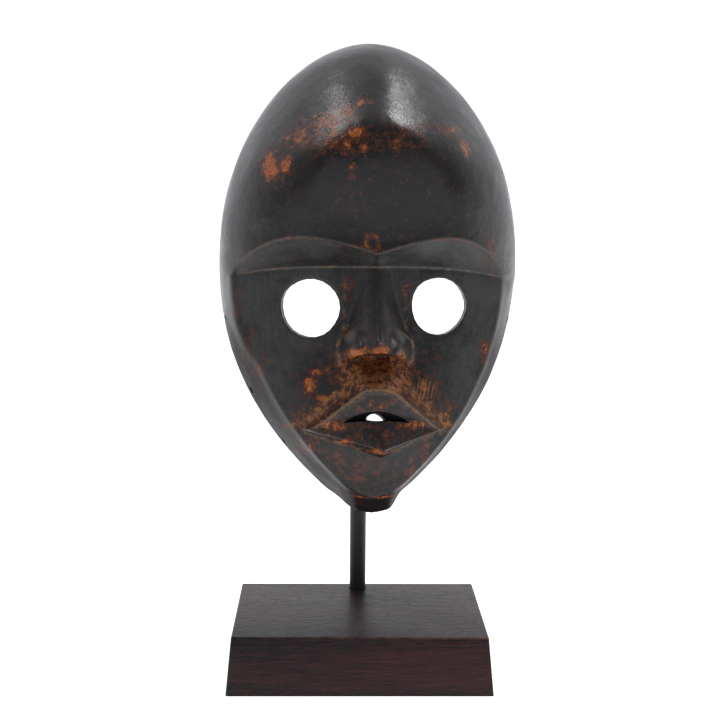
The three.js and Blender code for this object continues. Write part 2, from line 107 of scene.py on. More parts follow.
class StandSizes(bpy.types.PropertyGroup):
    batter: length("Batter", 2.5, "How far each side of the base stands out at its foot")
    edge: length("Edge", 0.8, "Rounding of the base's edges")
    socket_gap: length("Socket gap", 0.3, "Space between the rod and the wood round it")
    socket_depth: length("Socket depth", 18, "How deep the rod stands in the base")
    rod_tip: length("Rod tip", 1.2, "Chamfer at the rod's ends")


class Finishes(bpy.types.PropertyGroup):
    patina_dark: colour("Dark patina", "#111012", "Darkest part of the handled surface")
    patina_brown: colour("Brown patina", "#1e1819", "Where the dark layer is thin")
    rubbed: colour("Rubbed red", "#562a17", "Red-brown wood at the rim of a worn place")
    worn: colour("Worn wood", "#94491a", "Bare orange-brown wood")
    worn_light: colour("Light worn wood", "#bb6f2a", "Lightest fibres of the bare wood")
    # The dust colour also paints a highlight along the upper lip's ridge and light below the nose
    dust_and_painted_light: colour("Dust", "#86633f", "Dry dust that stays in the cuts")
    # Grey painted sheen: the face's soft reflection laid into its colour
    painted_sheen: colour("Painted sheen", "#434445", "Grey film on the face, where it is seldom touched")
    inner_wood: colour("Inner wood", "#35271f", "Plain wood of the hollow")
    steel_paint: colour("Black paint", "#1c1c1d", "Matte paint of the rod")
    base_dark: colour("Dark stain", "#180f12", "Darkest grain of the base")
    base_red: colour("Red stain", "#3c1b1c", "Reddest grain of the base")
    # A paler stain along the front arris of the base's top
    base_pale_edge: colour("Rubbed stain", "#7a5446", "Edge of the base where the stain is rubbed thin")
    steel_worn: colour("Worn paint", "#232222", "Lighter places in the rod's paint")
    floor: colour("Floor", "#fbfbfb", "Opal sheet under the object")


class StageSettings(bpy.types.PropertyGroup):
    lens: FloatProperty(
        name="Lens", default=70, min=1, unit="CAMERA", description="Focal length in millimetres")
    light: FloatProperty(name="Light", default=1, min=0, description="Strength of all the lamps together")
    marks_seed: IntProperty(name="Seed", default=7, description="Picks the pattern of the tool marks")


# Nodes

def add(tree, kind, inputs=None, **settings):
    """Adds a node with its settings. An input is given its value, or what feeds it: a socket, or a
    node, which then feeds it from its first output in use."""
    node = tree.nodes.new(kind)
    for name, value in settings.items():
        setattr(node, name, value)
    for name, value in (inputs or {}).items():
        if isinstance(value, bpy.types.Node):
            value = next(socket for socket in value.outputs if socket.enabled)
        if isinstance(value, bpy.types.NodeSocket):
            tree.links.new(value, node.inputs[name])
        else:
            node.inputs[name].default_value = value
    return node


def new_material(name):
    """A material with an empty tree, and the Object coordinates that its patterns lie on."""
    material = bpy.data.materials.new(name)
    material.use_nodes = True
    tree = material.node_tree
    tree.nodes.clear()
    return material, tree, add(tree, "ShaderNodeTexCoord").outputs["Object"]


def new_modifier_tree(name, inputs):
    """A Geometry Nodes tree with one geometry in and out, and the named inputs for its sizes."""
    tree = bpy.data.node_groups.new(name, "GeometryNodeTree")
    tree.interface.new_socket("Geometry", in_out="INPUT", socket_type="NodeSocketGeometry")
    for label, kind in inputs.items():
        tree.interface.new_socket(label, in_out="INPUT", socket_type=kind)
    tree.interface.new_socket("Geometry", in_out="OUTPUT", socket_type="NodeSocketGeometry")
    return tree, add(tree, "NodeGroupInput").outputs


# Settings that many nodes share
SOFTLY = {"interpolation_type": "SMOOTHSTEP"}
OF_COLOURS = {"data_type": "RGBA"}
TIMES = {"operation": "MULTIPLY"}
TIMES_PLUS = {"operation": "MULTIPLY_ADD"}
LARGER = {"operation": "MAXIMUM"}
MINUS = {"operation": "SUBTRACT"}


# The carving, as depths over the mask's own frame. It follows the solid's rules, with the left brow,
# the left side wall, the nose and the lips cut finer.

def mix(a, b, share):
    return a + (b - a) * share


def clamp(value):
    return np.clip(value, 0.0, 1.0)


def smooth(start, end, value):
    share = clamp((value - start) / (end - start))
    return share * share * (3 - 2 * share)


def near_line(distance, width):
    return np.exp(-(distance / width) ** 2)


def lesser(a, b, blend):
    near = np.maximum(blend - np.abs(a - b), 0) / blend
    return np.minimum(a, b) - near ** 2 * blend / 4


class Carving:
    """Shape of the mask: x to the right, z up from the chin, depth forwards from the back of the rim."""

    def __init__(self, sizes):
        self.sizes = sizes
        height, width, depth = sizes.height, sizes.width, sizes.depth
        self.height, self.width, self.depth = height, width, depth
        self.widest = 0.537 * height
        self.chin_cut = 0.032 * height
        self.chin_round = 0.04 * height
        self.face_depth = 0.69 * depth
        self.face_slope = 0.32
        self.face_ridge = 0.085 * width
        self.side_width = 0.071 * width
        self.chin_front = 0.8
        self.chin_half = 0.085 * width
        self.brow_depth = 0.865 * depth
        self.dome_side = 0.4 * width
        self.dome_crown = 0.417 * height
        self.brow_span = 0.445 * width
        self.brow_corner = 0.4995 * height
        self.brow_rise = 0.079 * height
        self.brow_dip = 0.42
        self.crease_rise = 0.023 * height
        self.corner_fade = 0.012 * height
        self.eye_side = 0.205 * width
        self.eye_level = 0.438 * height
        self.nose_root = 0.5215 * height
        self.nose_tip = 0.351 * height
        self.nose_wing = 0.331 * height
        self.nose_rise = 0.33 * depth
        self.nose_root_rise = 0.06 * depth
        self.nose_root_half = 0.055 * width
        self.nose_half = 0.123 * width
        self.nose_fall = math.tan(math.radians(5))
        self.wing_side = 0.08 * width
        self.wing_rise = 0.105 * depth
        self.wing_level = 0.366 * height
        self.muzzle_rise = 0.135 * depth
        self.muzzle_half = 0.21 * width
        self.muzzle_tall = 0.1 * height
        self.muzzle_level = 0.207 * height
        self.mouth_half = 0.211 * width
        self.mouth_corner = 0.187 * height
        self.mouth_level = 0.2215 * height
        self.upper_lip_top = 0.28 * height
        self.upper_lip_half = 0.039 * width
        self.lower_lip_foot = 0.153 * height
        self.lip_depth = 0.92 * depth
        self.lip_fall = 0.45
        self.lip_flare = 0.06 * depth
        self.lip_flank_top = 0.1 * height
        self.lip_flank_foot = 0.04 * height
        self.lip_flank_side = 0.035 * width
        self.lip_aside = 0.017 * width
        self.rim_hole_levels = (0.049 * height, 0.139 * height, 0.25 * height, 0.408 * height)
        self.left_brow_reach = 0.935
        self.left_steepness = 0.8
        self.nostril_groove, self.nostril_groove_round = 0.9 * MM, 7.3 * MM
        self.tip_groove, self.tip_groove_side = 1.0 * MM, 5.4 * MM
        self.lip_step = 0.7 * MM
        self.brow_step, self.brow_step_fade = 1.1 * MM, 9 * MM
        self.crease_cut, self.crease_cut_half = 0.5 * MM, 0.7 * MM
        self.eye_edge = 0.5 * MM
        self.line_steps = 21
        self.lip_facets = self.make_lip_facets()

    # Outline

    def outline_shape(self, z):
        reach = np.where(z > self.widest, self.height - self.widest, self.widest + self.chin_cut)
        crown = smooth(0.4 * self.height, 0.69 * self.height, z)
        up = np.minimum(np.abs(z - self.widest) / reach, 1)
        return up, mix(2.275, 2, crown), mix(0.934, 0.543, crown)

    def inside(self, x, z):
        up, fullness, roundness = self.outline_shape(z)
        return 1 - up ** fullness - np.abs(2 * x / self.width) ** (1 / roundness)

    def from_edge(self, x, z):
        step = 1e-4 * self.height
        slope_x = (self.inside(x + step, z) - self.inside(x - step, z)) / (2 * step)
        slope_z = (self.inside(x, z + step) - self.inside(x, z - step)) / (2 * step)
        from_sides = np.maximum(self.inside(x, z), 0) / np.maximum(np.hypot(slope_x, slope_z), 1e-9)
        return np.maximum(lesser(from_sides, z, self.chin_round), 0)

    def half_width(self, z, inset=0.0):
        z = np.asarray(z, dtype=float)
        up, fullness, roundness = self.outline_shape(z)
        sides = self.width / 2 * (1 - up ** fullness) ** roundness
        exact = np.ones(z.shape, bool) if inset else z <= self.chin_round
        if np.any(exact):
            heights = z[exact]
            low, high = np.zeros_like(heights), sides[exact]
            for _ in range(30):
                middle = (low + high) / 2
                within = self.from_edge(middle, heights) > inset
                low = np.where(within, middle, low)
                high = np.where(within, high, middle)
            sides = sides.copy()
            sides[exact] = low
        return sides

    # Face and forehead

    def rounded(self, distance, width):
        return np.sqrt(1 - (1 - clamp(distance / width)) ** 2)

    def side_wall(self, distance, chin):
        wall = clamp(distance / self.side_width) ** 0.75
        front = mix(self.chin_front, 1, clamp(distance / self.side_width))
        return mix(wall, front * self.rounded(distance, 0.15 * self.side_width), chin)

    def aside_brow(self, x):
        """Distance from the middle for the brow, which was carved a little longer on the left."""
        return np.where(x < 0, -self.left_brow_reach * x, x)

    def fade(self, x):
        return self.corner_fade * smooth(0.95 * self.brow_span, 1.05 * self.brow_span, self.aside_brow(x))

    def brow_line(self, x):
        along = np.minimum(self.aside_brow(x) / self.brow_span, 1)
        inner = 1 - self.brow_dip * np.abs(1 - 2 * along) ** 1.6
        outer = 1 - np.abs(2 * along - 1) ** 2.3
        return self.brow_corner + self.brow_rise * np.where(along < 0.5, inner, outer) + self.fade(x)

    def crease_line(self, x):
        along = np.minimum(self.aside_brow(x) / self.brow_span, 1)
        return self.brow_corner + self.crease_rise * (1 - along ** 3) - self.fade(x)

    def face_plane(self, x, z):
        away = (x / self.muzzle_half) ** 2 + ((z - self.muzzle_level) / self.muzzle_tall) ** 2
        cheeks = self.face_slope * (np.hypot(x, self.face_ridge) - self.face_ridge)
        return self.face_depth - cheeks + self.muzzle_rise * np.exp(-away)

    def forehead(self, z):
        return mix(self.brow_depth, self.depth, smooth(0.55 * self.height, 0.76 * self.height, z))

    def dome_rounding(self, z):
        return mix(self.dome_side, self.dome_crown, smooth(0.72 * self.height, 0.92 * self.height, z))

    def plain_depth(self, x, z):
        edge = self.from_edge(x, z)
        near_foot = 1 - smooth(0.04 * self.height, 0.1 * self.height, z)
        chin = near_foot * (1 - smooth(0.6 * self.chin_half, 1.4 * self.chin_half, np.abs(x)))
        low, high = self.crease_line(x), self.brow_line(x)
        share = clamp((z - low) / np.maximum(high - low, 1e-9))
        # The left side wall is steeper beside the eye
        steeper = smooth(0.15 * self.width, 0.35 * self.width, -x)
        steeper = steeper * smooth(0.3 * self.height, 0.42 * self.height, z)
        wall = edge * (1 + self.left_steepness * steeper)
        face = self.face_plane(x, np.minimum(z, low)) * self.side_wall(wall, chin)
        # The side wall turns into the temple without a step
        temple = self.forehead(low) * self.rounded(edge, self.dome_rounding(low))
        beside = smooth(0.42 * self.height, 0.52 * self.height, z)
        beside = beside * (1 - smooth(0.2 * self.side_width, 1.0 * self.side_width, wall))
        face = mix(face, temple, beside)
        dome = self.forehead(np.maximum(z, high)) * self.rounded(edge, self.dome_rounding(z))
        return mix(face, dome, share)

    # Nose

    def nose_surface(self, x, z, plain):
        down = clamp((self.nose_root - z) / (self.nose_root - self.nose_tip))
        ridge = mix(self.nose_root_rise, self.nose_rise, down ** 1.15)
        ridge = ridge * (1 - smooth(self.nose_root, 1.05 * self.nose_root, z))
        across = np.minimum(np.abs(x) / mix(self.nose_root_half, self.nose_half, down ** 1.3), 1)
        wing_x = (np.abs(x) - self.wing_side) / (0.45 * self.wing_side)
        wing_z = (z - self.wing_level) / (0.068 * self.wing_level)
        rise = ridge * (1 - across ** 2) ** 1.5 + self.wing_rise * np.exp(-wing_x ** 2 - wing_z ** 2)
        # A groove runs round the upper outer side of each wing, and a shorter one beside the tip
        from_wing = np.hypot(np.abs(x) - 0.9 * self.wing_side, z - self.wing_level)
        over_wing = z - self.wing_level + 0.6 * (np.abs(x) - self.wing_side)
        upper_outer = smooth(-0.3, 0.5, over_wing / self.wing_side)
        round_wing = near_line(from_wing - self.nostril_groove_round, 1.0 * MM) * upper_outer
        rise = rise - self.nostril_groove * round_wing
        beside_tip = near_line(np.abs(x) - self.tip_groove_side, 1.6 * MM)
        rise = rise - self.tip_groove * beside_tip * near_line(z - self.wing_level, 4.5 * MM)
        tip = self.face_depth + self.nose_rise
        under = tip + (z - self.nose_edge(x)) / self.nose_fall
        return np.minimum(plain + rise, under)

    def nose_edge(self, x):
        return self.nose_tip - (self.nose_tip - self.nose_wing) * (x / self.nose_half) ** 2

    # Lips

    def mouth_line(self, x):
        return mix(self.mouth_level, self.mouth_corner, np.abs(x / self.mouth_half) ** 1.3)

    def mouth_points(self):
        """Points along the line between the lips, as across and up."""
        across = np.linspace(-self.mouth_half, self.mouth_half, self.line_steps)
        return [(x, float(self.mouth_line(x))) for x in across]

    def lip_depth_at(self, x):
        rounding = 0.056 * self.width
        return self.lip_depth - self.lip_fall * (np.hypot(x, rounding) - rounding)

    def lip_corners(self):
        """Foot, right corner, both ends of the level top, left corner."""
        edge = float(self.lip_depth_at(self.upper_lip_half)) + self.lip_flare
        corner = float(self.lip_depth_at(self.mouth_half))
        return [
            (self.lip_aside, self.lower_lip_foot, self.lip_depth + self.lip_flare),
            (self.mouth_half, self.mouth_corner, corner),
            (self.upper_lip_half, self.upper_lip_top, edge),
            (-self.upper_lip_half, self.upper_lip_top, edge),
            (-self.mouth_half, self.mouth_corner, corner),
        ]

    def make_lip_facets(self):
        back = 0.5 * self.depth
        foot, right, top_right, top_left, left = self.lip_corners()
        spread = (
            (0, -self.lip_flank_foot), (self.lip_flank_side, 0), (0, self.lip_flank_top),
            (0, self.lip_flank_top), (-self.lip_flank_side, 0))
        front = [foot, right, top_right, top_left, left]
        behind = [(x + dx, z + dz, back) for (x, z, _), (dx, dz) in zip(front, spread)]
        line = [(x, z, float(self.lip_depth_at(x))) for x, z in self.mouth_points()]
        middle = len(line) // 2
        facets = [(line[middle], top_right, top_left)]
        for i in range(len(line) - 1):
            facets.append((line[i], line[i + 1], top_left if i < middle else top_right))
            facets.append((line[i], foot, line[i + 1]))
        for i in range(5):
            j = (i + 1) % 5
            facets.append((front[i], behind[i], behind[j]))
            facets.append((front[i], behind[j], front[j]))
        return facets

    def lip_surface(self, x, z):
        depth = np.full(x.shape, -1.0)
        for (x0, z0, d0), (x1, z1, d1), (x2, z2, d2) in self.lip_facets:
            area = (x1 - x0) * (z2 - z0) - (x2 - x0) * (z1 - z0)
            if abs(area) < 1e-12:
                continue
            b = ((x - x0) * (z2 - z0) - (x2 - x0) * (z - z0)) / area
            c = ((x1 - x0) * (z - z0) - (x - x0) * (z1 - z0)) / area
            within = (b >= -1e-6) & (c >= -1e-6) & (b + c <= 1 + 1e-6)
            depth = np.where(within, np.maximum(depth, d0 + b * (d1 - d0) + c * (d2 - d0)), depth)
        return depth

    def inside_lips(self, x, z):
        """Distance in from the edge of the lips, negative outside them."""
        corners = self.lip_corners()
        distance = np.full(x.shape, np.inf)
        for (x0, z0, _), (x1, z1, _) in zip(corners, corners[1:] + corners[:1]):
            side = ((x1 - x0) * (z - z0) - (x - x0) * (z1 - z0)) / math.hypot(x1 - x0, z1 - z0)
            distance = np.minimum(distance, side)
        return distance

    # Everything together, with the edges worn round

    def sharp_depth(self, x, z):
        plain = self.plain_depth(x, z)
        depth = np.maximum(plain, self.nose_surface(x, z, plain))
        lips = self.lip_surface(x, z)
        inset = self.inside_lips(x, z)
        upper = smooth(0, 3 * MM, z - self.mouth_line(x))
        lips = lips - self.lip_step * upper * smooth(1.6 * MM, 2.3 * MM, inset)
        depth = np.maximum(depth, lips)
        above_brow = z - self.brow_line(x)
        corner = 1 - smooth(0.8 * self.brow_span, self.brow_span, self.aside_brow(x))
        step = smooth(-0.4 * MM, 0.4 * MM, above_brow)
        step = step * np.exp(-np.maximum(above_brow, 0) / self.brow_step_fade)
        depth = depth + self.brow_step * step * corner
        groove = near_line(z - self.crease_line(x), self.crease_cut_half)
        return depth - self.crease_cut * groove * corner

    def worn_depth(self, x, z):
        edge = self.from_edge(x, z)
        reach = np.minimum(self.sizes.worn_edge, 0.25 * edge)
        total = self.sharp_depth(x, z)
        around = 8
        for i in range(around):
            angle = 2 * math.pi * (i + 0.5) / around
            total = total + self.sharp_depth(x + reach * math.cos(angle), z + reach * math.sin(angle))
        depth = total / (around + 1)
        side = np.sign(x)
        from_eye = np.hypot(x - side * self.eye_side, z - self.eye_level) - self.sizes.eye_radius
        return depth - self.eye_edge * (1 - clamp((from_eye + 0.2 * MM) / (1.3 * MM))) ** 2

    def hollow_depth(self, x, z):
        up = smooth(0.47 * self.height, 0.68 * self.height, z)
        cheeks = self.face_slope * (np.hypot(x, self.face_ridge) - self.face_ridge)
        full = mix(self.face_depth - cheeks, self.forehead(z), up) - self.sizes.face_wall
        rounding = mix(0.2 * self.width, self.dome_rounding(z), up)
        edge = np.maximum(self.from_edge(x, z) - self.sizes.rim_wall, 0)
        return full * self.rounded(edge, rounding)

    # Rows and columns of the front's mesh, which follow the crease, the brow and the face's edge

    def height_at(self, row, x):
        rest_crease = float(self.crease_line(0.0))
        rest_brow = float(self.brow_line(0.0))
        crease, brow = self.crease_line(x), self.brow_line(x)
        below = row / rest_crease * crease
        between = mix(crease, brow, (row - rest_crease) / (rest_brow - rest_crease))
        above = mix(brow, self.height, (row - rest_brow) / (self.height - rest_brow))
        return np.where(row <= rest_crease, below, np.where(row >= rest_brow, above, between))

    def across_at(self, z, column):
        half = self.half_width(z)
        step = 1e-3 * self.height
        higher, lower = np.minimum(z + step, self.height), np.maximum(z - step, 0)
        slope = (self.half_width(higher) - self.half_width(lower)) / (2 * step)
        face = half - np.minimum(self.side_width * np.hypot(1, slope), 0.45 * half)
        size = np.abs(column)
        outer = mix(face, half, 1 - clamp(2 - size) ** 1.8)
        return np.sign(column) * np.where(size <= 1, face * size, outer)

    def front_points(self, rows, columns):
        row, column = np.meshgrid(rows, columns, indexing="ij")
        z = row.copy()
        for _ in range(10):
            z = self.height_at(row, self.across_at(z, column))
        x = self.across_at(z, column)
        return self.snap_to_lips(x, z)

    def snap_to_lips(self, x, z):
        """Moves the points next to the lips' edges onto them, so that the edges run true."""
        corners = [(a, b) for a, b, _ in self.lip_corners()]
        line = self.mouth_points()
        pieces = list(zip(corners, corners[1:] + corners[:1])) + list(zip(line, line[1:]))
        best = np.full(x.shape, np.inf)
        new_x, new_z = x.copy(), z.copy()
        for (x0, z0), (x1, z1) in pieces:
            span = (x1 - x0) ** 2 + (z1 - z0) ** 2
            along = clamp(((x - x0) * (x1 - x0) + (z - z0) * (z1 - z0)) / span)
            near_x, near_z = mix(x0, x1, along), mix(z0, z1, along)
            distance = np.hypot(near_x - x, near_z - z)
            closer = (distance < best) & (distance < SNAP_REACH)
            new_x = np.where(closer, near_x, new_x)
            new_z = np.where(closer, near_z, new_z)
            best = np.where(closer, distance, best)
        return new_x, new_z


def stations(start, end, at_start, at_end, largest):
    """Numbers from start to end, with steps that grow from the small ones given at each end."""
    growth = 0.3
    places = [start]
    while places[-1] < end:
        here = places[-1]
        step = min(at_start + growth * (here - start), at_end + growth * max(end - here, 0), largest)
        places.append(here + step)
    places = np.array(places)
    return start + (places - start) * (end - start) / (places[-1] - start)


def relief_mesh(name, x, z, depth, ends, back):
    """Closed mesh of a grid of depths whose first and last columns lie on the outline."""
    depth = depth.copy()
    depth[:, 0] = depth[:, -1] = back
    grid = np.stack([x, -depth, z], axis=-1)
    rows, columns = x.shape
    points = np.concatenate([grid.reshape(-1, 3), [(0, -back, ends[0]), (0, -back, ends[1])]])
    bottom, top = rows * columns, rows * columns + 1
    at = np.arange(rows * columns).reshape(rows, columns)
    # Each cell is split along the diagonal that is more nearly level
    a, b, c, d = (part.reshape(-1) for part in (at[:-1, :-1], at[:-1, 1:], at[1:, 1:], at[1:, :-1]))
    level = depth.reshape(-1)
    rising = np.abs(level[a] - level[c]) <= np.abs(level[b] - level[d])
    first = np.stack([a, b, np.where(rising, c, d)], axis=-1)
    second = np.stack([np.where(rising, a, b), c, d], axis=-1)
    faces = [tuple(cell) for cell in np.concatenate([first, second]).tolist()]
    faces += [(bottom, int(at[0, j + 1]), int(at[0, j])) for j in range(columns - 1)]
    faces += [(top, int(at[-1, j]), int(at[-1, j + 1])) for j in range(columns - 1)]
    left, right = at[:, 0].tolist(), at[:, -1].tolist()
    faces += [(left[i], left[i + 1], right[i + 1], right[i]) for i in range(rows - 1)]
    faces += [(bottom, int(at[0, 0]), int(at[0, -1])), (top, int(at[-1, -1]), int(at[-1, 0]))]
    mesh = bpy.data.meshes.new(name)
    mesh.from_pydata(points.tolist(), [], faces)
    mesh.validate()
    return mesh


def add_object(name, mesh):
    piece = bpy.data.objects.new(name, mesh)
    bpy.context.scene.collection.objects.link(piece)
    return piece


def built_object(name, build):
    """Turns what bmesh has built into an object."""
    mesh = bpy.data.meshes.new(name)
    build.to_mesh(mesh)
    build.free()
    return add_object(name, mesh)


def make_plain(piece):
    """Turns a piece with live modifiers into a plain mesh of the same shape."""
    bpy.context.view_layer.update()
    evaluated = piece.evaluated_get(bpy.context.evaluated_depsgraph_get())
    mesh = bpy.data.meshes.new_from_object(evaluated)
    piece.modifiers.clear()
    piece.data = mesh
    return piece


def cut_away(piece, cutters):
    """Cuts the cutters out of the piece, and removes them."""
    least_left = 0.3
    for cutter in cutters:
        before = len(piece.data.polygons)
        cut = piece.modifiers.new("Cut", "BOOLEAN")
        cut.operation = "DIFFERENCE"
        cut.solver = "MANIFOLD"
        cut.object = cutter
        make_plain(piece)
        if len(piece.data.polygons) < least_left * before:
            raise RuntimeError(f"cutting {cutter.name} out of {piece.name} left too little of it")
        bpy.data.objects.remove(cutter)


# The mask

# How near to the lips' edges a point of the mesh is moved onto them
SNAP_REACH = 0.18 * MM
# Middle across as shares of the width, shift up in millimetres, how narrow, share of the full
# radius, and degrees that the hole turns to the right on its way in
EYES = ((-0.2065, -0.3, 1.02, 1.005, 9), (0.2085, 0.9, 0.985, 0.99, 1))
# Knife cuts round an eye hole, and how far its outline is from a true circle
EYE_CUTS, EYE_UNEVEN = 22, 0.014
# The hole right through the mouth: its height as a share of the gap between the lips, where it
# starts as a share of the mask's depth, and the degrees that it falls on its way in
HOLE_GAP, HOLE_START, HOLE_FALL = 0.84, 0.4, 9


def front_solid(carving):
    """The front and the flat back, with rows that lie closest over the lips, the crease and the brow."""
    crease, brow = float(carving.crease_line(0.0)), float(carving.brow_line(0.0))
    fine, finest = 0.86 * MM, 0.38 * MM
    foot, top = carving.lower_lip_foot - 1 * MM, carving.upper_lip_top + 1 * MM
    rows = np.concatenate([
        stations(0, foot, 0.5 * MM, finest, fine)[1:],
        stations(foot, top, finest, finest, finest)[1:],
        stations(top, crease, finest, fine, fine)[1:],
        stations(crease, brow, 0.35 * MM, 0.3 * MM, 0.6 * MM)[1:],
        stations(brow, carving.height, 0.3 * MM, 0.35 * MM, 1.25 * fine)[1:-1],
    ])
    # Columns are even from the middle, at 0, to the face's edge, at 1, then go down the side wall to 2
    face_step, wall_first, wall_step = 0.0135, 0.06, 0.1
    right = np.concatenate([
        stations(0, 1, face_step, face_step, face_step),
        1 + stations(0, 1, wall_first, wall_step, wall_step)[1:],
    ])
    columns = np.concatenate([-right[:0:-1], right])
    x, z = carving.front_points(rows, columns)
    mesh = relief_mesh("mask", x, z, carving.worn_depth(x, z), (0.0, carving.height), 0.0)
    return add_object("carved_mask", mesh)


def hollow_solid(carving):
    """The plug that is cut out. Its mouth flares a little, which rounds the rim's inner edge."""
    rim = carving.sizes.rim_wall
    rows = stations(rim, carving.height - rim, 0.7 * MM, 0.7 * MM, 2.2 * MM)
    shares = np.sin(np.linspace(-math.pi / 2, math.pi / 2, 81))
    z = np.repeat(rows[1:-1, None], len(shares), axis=1)
    x = carving.half_width(z, rim) * shares[None, :]
    return add_object("hollow", relief_mesh(
        "hollow", x, z, carving.hollow_depth(x, z) + 0.01 * MM, (rows[0], rows[-1]), -2 * MM))


def rod_cutter(name, radius, start, end, sides=48, uneven=0.0):
    """Closed cylinder between two points, with a slightly uneven outline where it is cut by hand."""
    build = bmesh.new()
    bmesh.ops.create_cone(
        build, cap_ends=True, segments=sides, radius1=radius, radius2=radius, depth=(end - start).length)
    for corner in build.verts:
        angle = math.atan2(corner.co.y, corner.co.x)
        swell = 1 + uneven * (math.sin(3 * angle + 0.6) + 0.6 * math.sin(5 * angle + 2))
        corner.co.x *= swell
        corner.co.y *= swell
    turn = Vector((0, 0, 1)).rotation_difference(end - start).to_matrix().to_4x4()
    build.transform(Matrix.Translation((start + end) / 2) @ turn)
    return built_object(name, build)


def eye_cutters(carving):
    surface = float(carving.face_plane(carving.eye_side, carving.eye_level))
    cutters = []
    for across, up, narrow, radius, turn in EYES:
        x, z = across * carving.width, carving.eye_level + up * MM
        slide = math.tan(math.radians(turn))
        ends = [Vector((x + slide * (surface - depth), -depth, z))
                for depth in (0.1 * carving.depth, carving.depth)]
        cutter = rod_cutter("eye", radius * carving.sizes.eye_radius, *ends, EYE_CUTS, EYE_UNEVEN)
        for corner in cutter.data.vertices:
            middle = x + slide * (surface + corner.co.y)
            corner.co.x = middle + (corner.co.x - middle) * narrow
        cutters.append(cutter)
    return cutters


def mouth_cutter(carving, half, gap, start, drop):
    """A lens that follows the line between the lips, from a depth inside the wood to the front."""
    rise = carving.mouth_level - float(carving.mouth_line(half))
    count = 24
    below, above = 2 * rise - 0.8 * gap, 2 * rise + 1.2 * gap
    shares = np.linspace(0, 1, count)
    lower = [(mix(-half, half, t), below * 2 * t * (1 - t)) for t in shares]
    upper = [(mix(half, -half, t), above * 2 * t * (1 - t)) for t in shares]
    outline = lower + upper[1:-1]
    slope = math.tan(math.radians(drop))
    level = float(carving.mouth_line(half))
    build = bmesh.new()
    rings = []
    for depth in (start, 1.2 * carving.depth):
        z = level - slope * (carving.lip_depth - depth)
        rings.append([build.verts.new((a, -depth, z + b)) for a, b in outline])
    inner, outer = rings
    build.faces.new(list(reversed(inner)))
    build.faces.new(outer)
    for i in range(len(outline)):
        j = (i + 1) % len(outline)
        build.faces.new((inner[i], inner[j], outer[j], outer[i]))
    bmesh.ops.recalc_face_normals(build, faces=build.faces)
    return built_object("mouth", build)


def rim_hole_tree():
    """Stands one small cylinder on each point, along the direction stored there."""
    tree, given = new_modifier_tree("Rim holes", {
        "Diameter": "NodeSocketFloat", "Length": "NodeSocketFloat"})
    radius = add(tree, "ShaderNodeMath", {0: given["Diameter"], 1: 0.5}, **TIMES)
    drill = add(tree, "GeometryNodeMeshCylinder", {
        "Vertices": 16, "Radius": radius, "Depth": given["Length"]})
    outward = add(tree, "GeometryNodeInputNamedAttribute", {"Name": "outward"}, data_type="FLOAT_VECTOR")
    turn = add(tree, "FunctionNodeAlignRotationToVector", {"Vector": outward.outputs["Attribute"]}, axis="Z")
    drills = add(tree, "GeometryNodeInstanceOnPoints", {
        "Points": given["Geometry"], "Instance": drill.outputs["Mesh"], "Rotation": turn})
    real = add(tree, "GeometryNodeRealizeInstances", {"Geometry": drills})
    painted = add(tree, "GeometryNodeSetMaterial", {"Geometry": real})
    add(tree, "NodeGroupOutput", {"Geometry": painted})
    return tree


def set_input(modifier, name, value):
    for item in modifier.node_group.interface.items_tree:
        if item.item_type == "SOCKET" and item.in_out == "INPUT" and item.name == name:
            modifier[item.identifier] = value
            return
    raise KeyError(name)


def rim_hole_cutters(carving):
    sizes = carving.sizes
    step = 1e-3 * carving.height
    points, outward = [], []
    for side in (-1, 1):
        for level in carving.rim_hole_levels:
            half, higher, lower = carving.half_width([level, level + step, level - step]).tolist()
            direction = Vector((side, 0, -(higher - lower) / (2 * step))).normalized()
            edge = Vector((side * half, -sizes.rim_hole_depth, level))
            points.append(edge - direction * 0.6 * sizes.rim_wall)
            outward.append(direction)
    mesh = bpy.data.meshes.new("rim_holes")
    mesh.from_pydata(points, [], [])
    stored = mesh.attributes.new("outward", "FLOAT_VECTOR", "POINT")
    stored.data.foreach_set("vector", [value for direction in outward for value in direction])
    cutter = add_object("rim_holes", mesh)
    drilling = cutter.modifiers.new("Rim holes", "NODES")
    drilling.node_group = rim_hole_tree()
    set_input(drilling, "Diameter", sizes.rim_hole)
    set_input(drilling, "Length", 3.2 * sizes.rim_wall)
    return make_plain(cutter)


def knife_marks_tree(material):
    """Moves the surface in and out by a slow noise, which leaves it slightly uneven, as a knife does."""
    tree, given = new_modifier_tree("Knife marks", {
        "Height": "NodeSocketFloat", "Size": "NodeSocketFloat", "Seed": "NodeSocketInt"})
    place = add(tree, "GeometryNodeInputPosition")
    often = add(tree, "ShaderNodeMath", {0: 1.0, 1: given["Size"]}, operation="DIVIDE")
    marks = add(tree, "ShaderNodeTexNoise", {
        "Vector": place, "W": given["Seed"], "Scale": often, "Detail": 2.0, "Roughness": 0.45},
        noise_dimensions="4D")
    centred = add(tree, "ShaderNodeMath", {0: marks, 1: 0.5}, **MINUS)
    high = add(tree, "ShaderNodeMath", {0: centred, 1: given["Height"]}, **TIMES)
    double = add(tree, "ShaderNodeMath", {0: high, 1: 2.0}, **TIMES)
    normal = add(tree, "GeometryNodeInputNormal")
    offset = add(tree, "ShaderNodeVectorMath", {0: normal, "Scale": double}, operation="SCALE")
    moved = add(tree, "GeometryNodeSetPosition", {"Geometry": given["Geometry"], "Offset": offset})
    real = add(tree, "GeometryNodeRealizeInstances", {"Geometry": moved})
    painted = add(tree, "GeometryNodeSetMaterial", {"Geometry": real, "Material": material})
    add(tree, "NodeGroupOutput", {"Geometry": painted})
    return tree
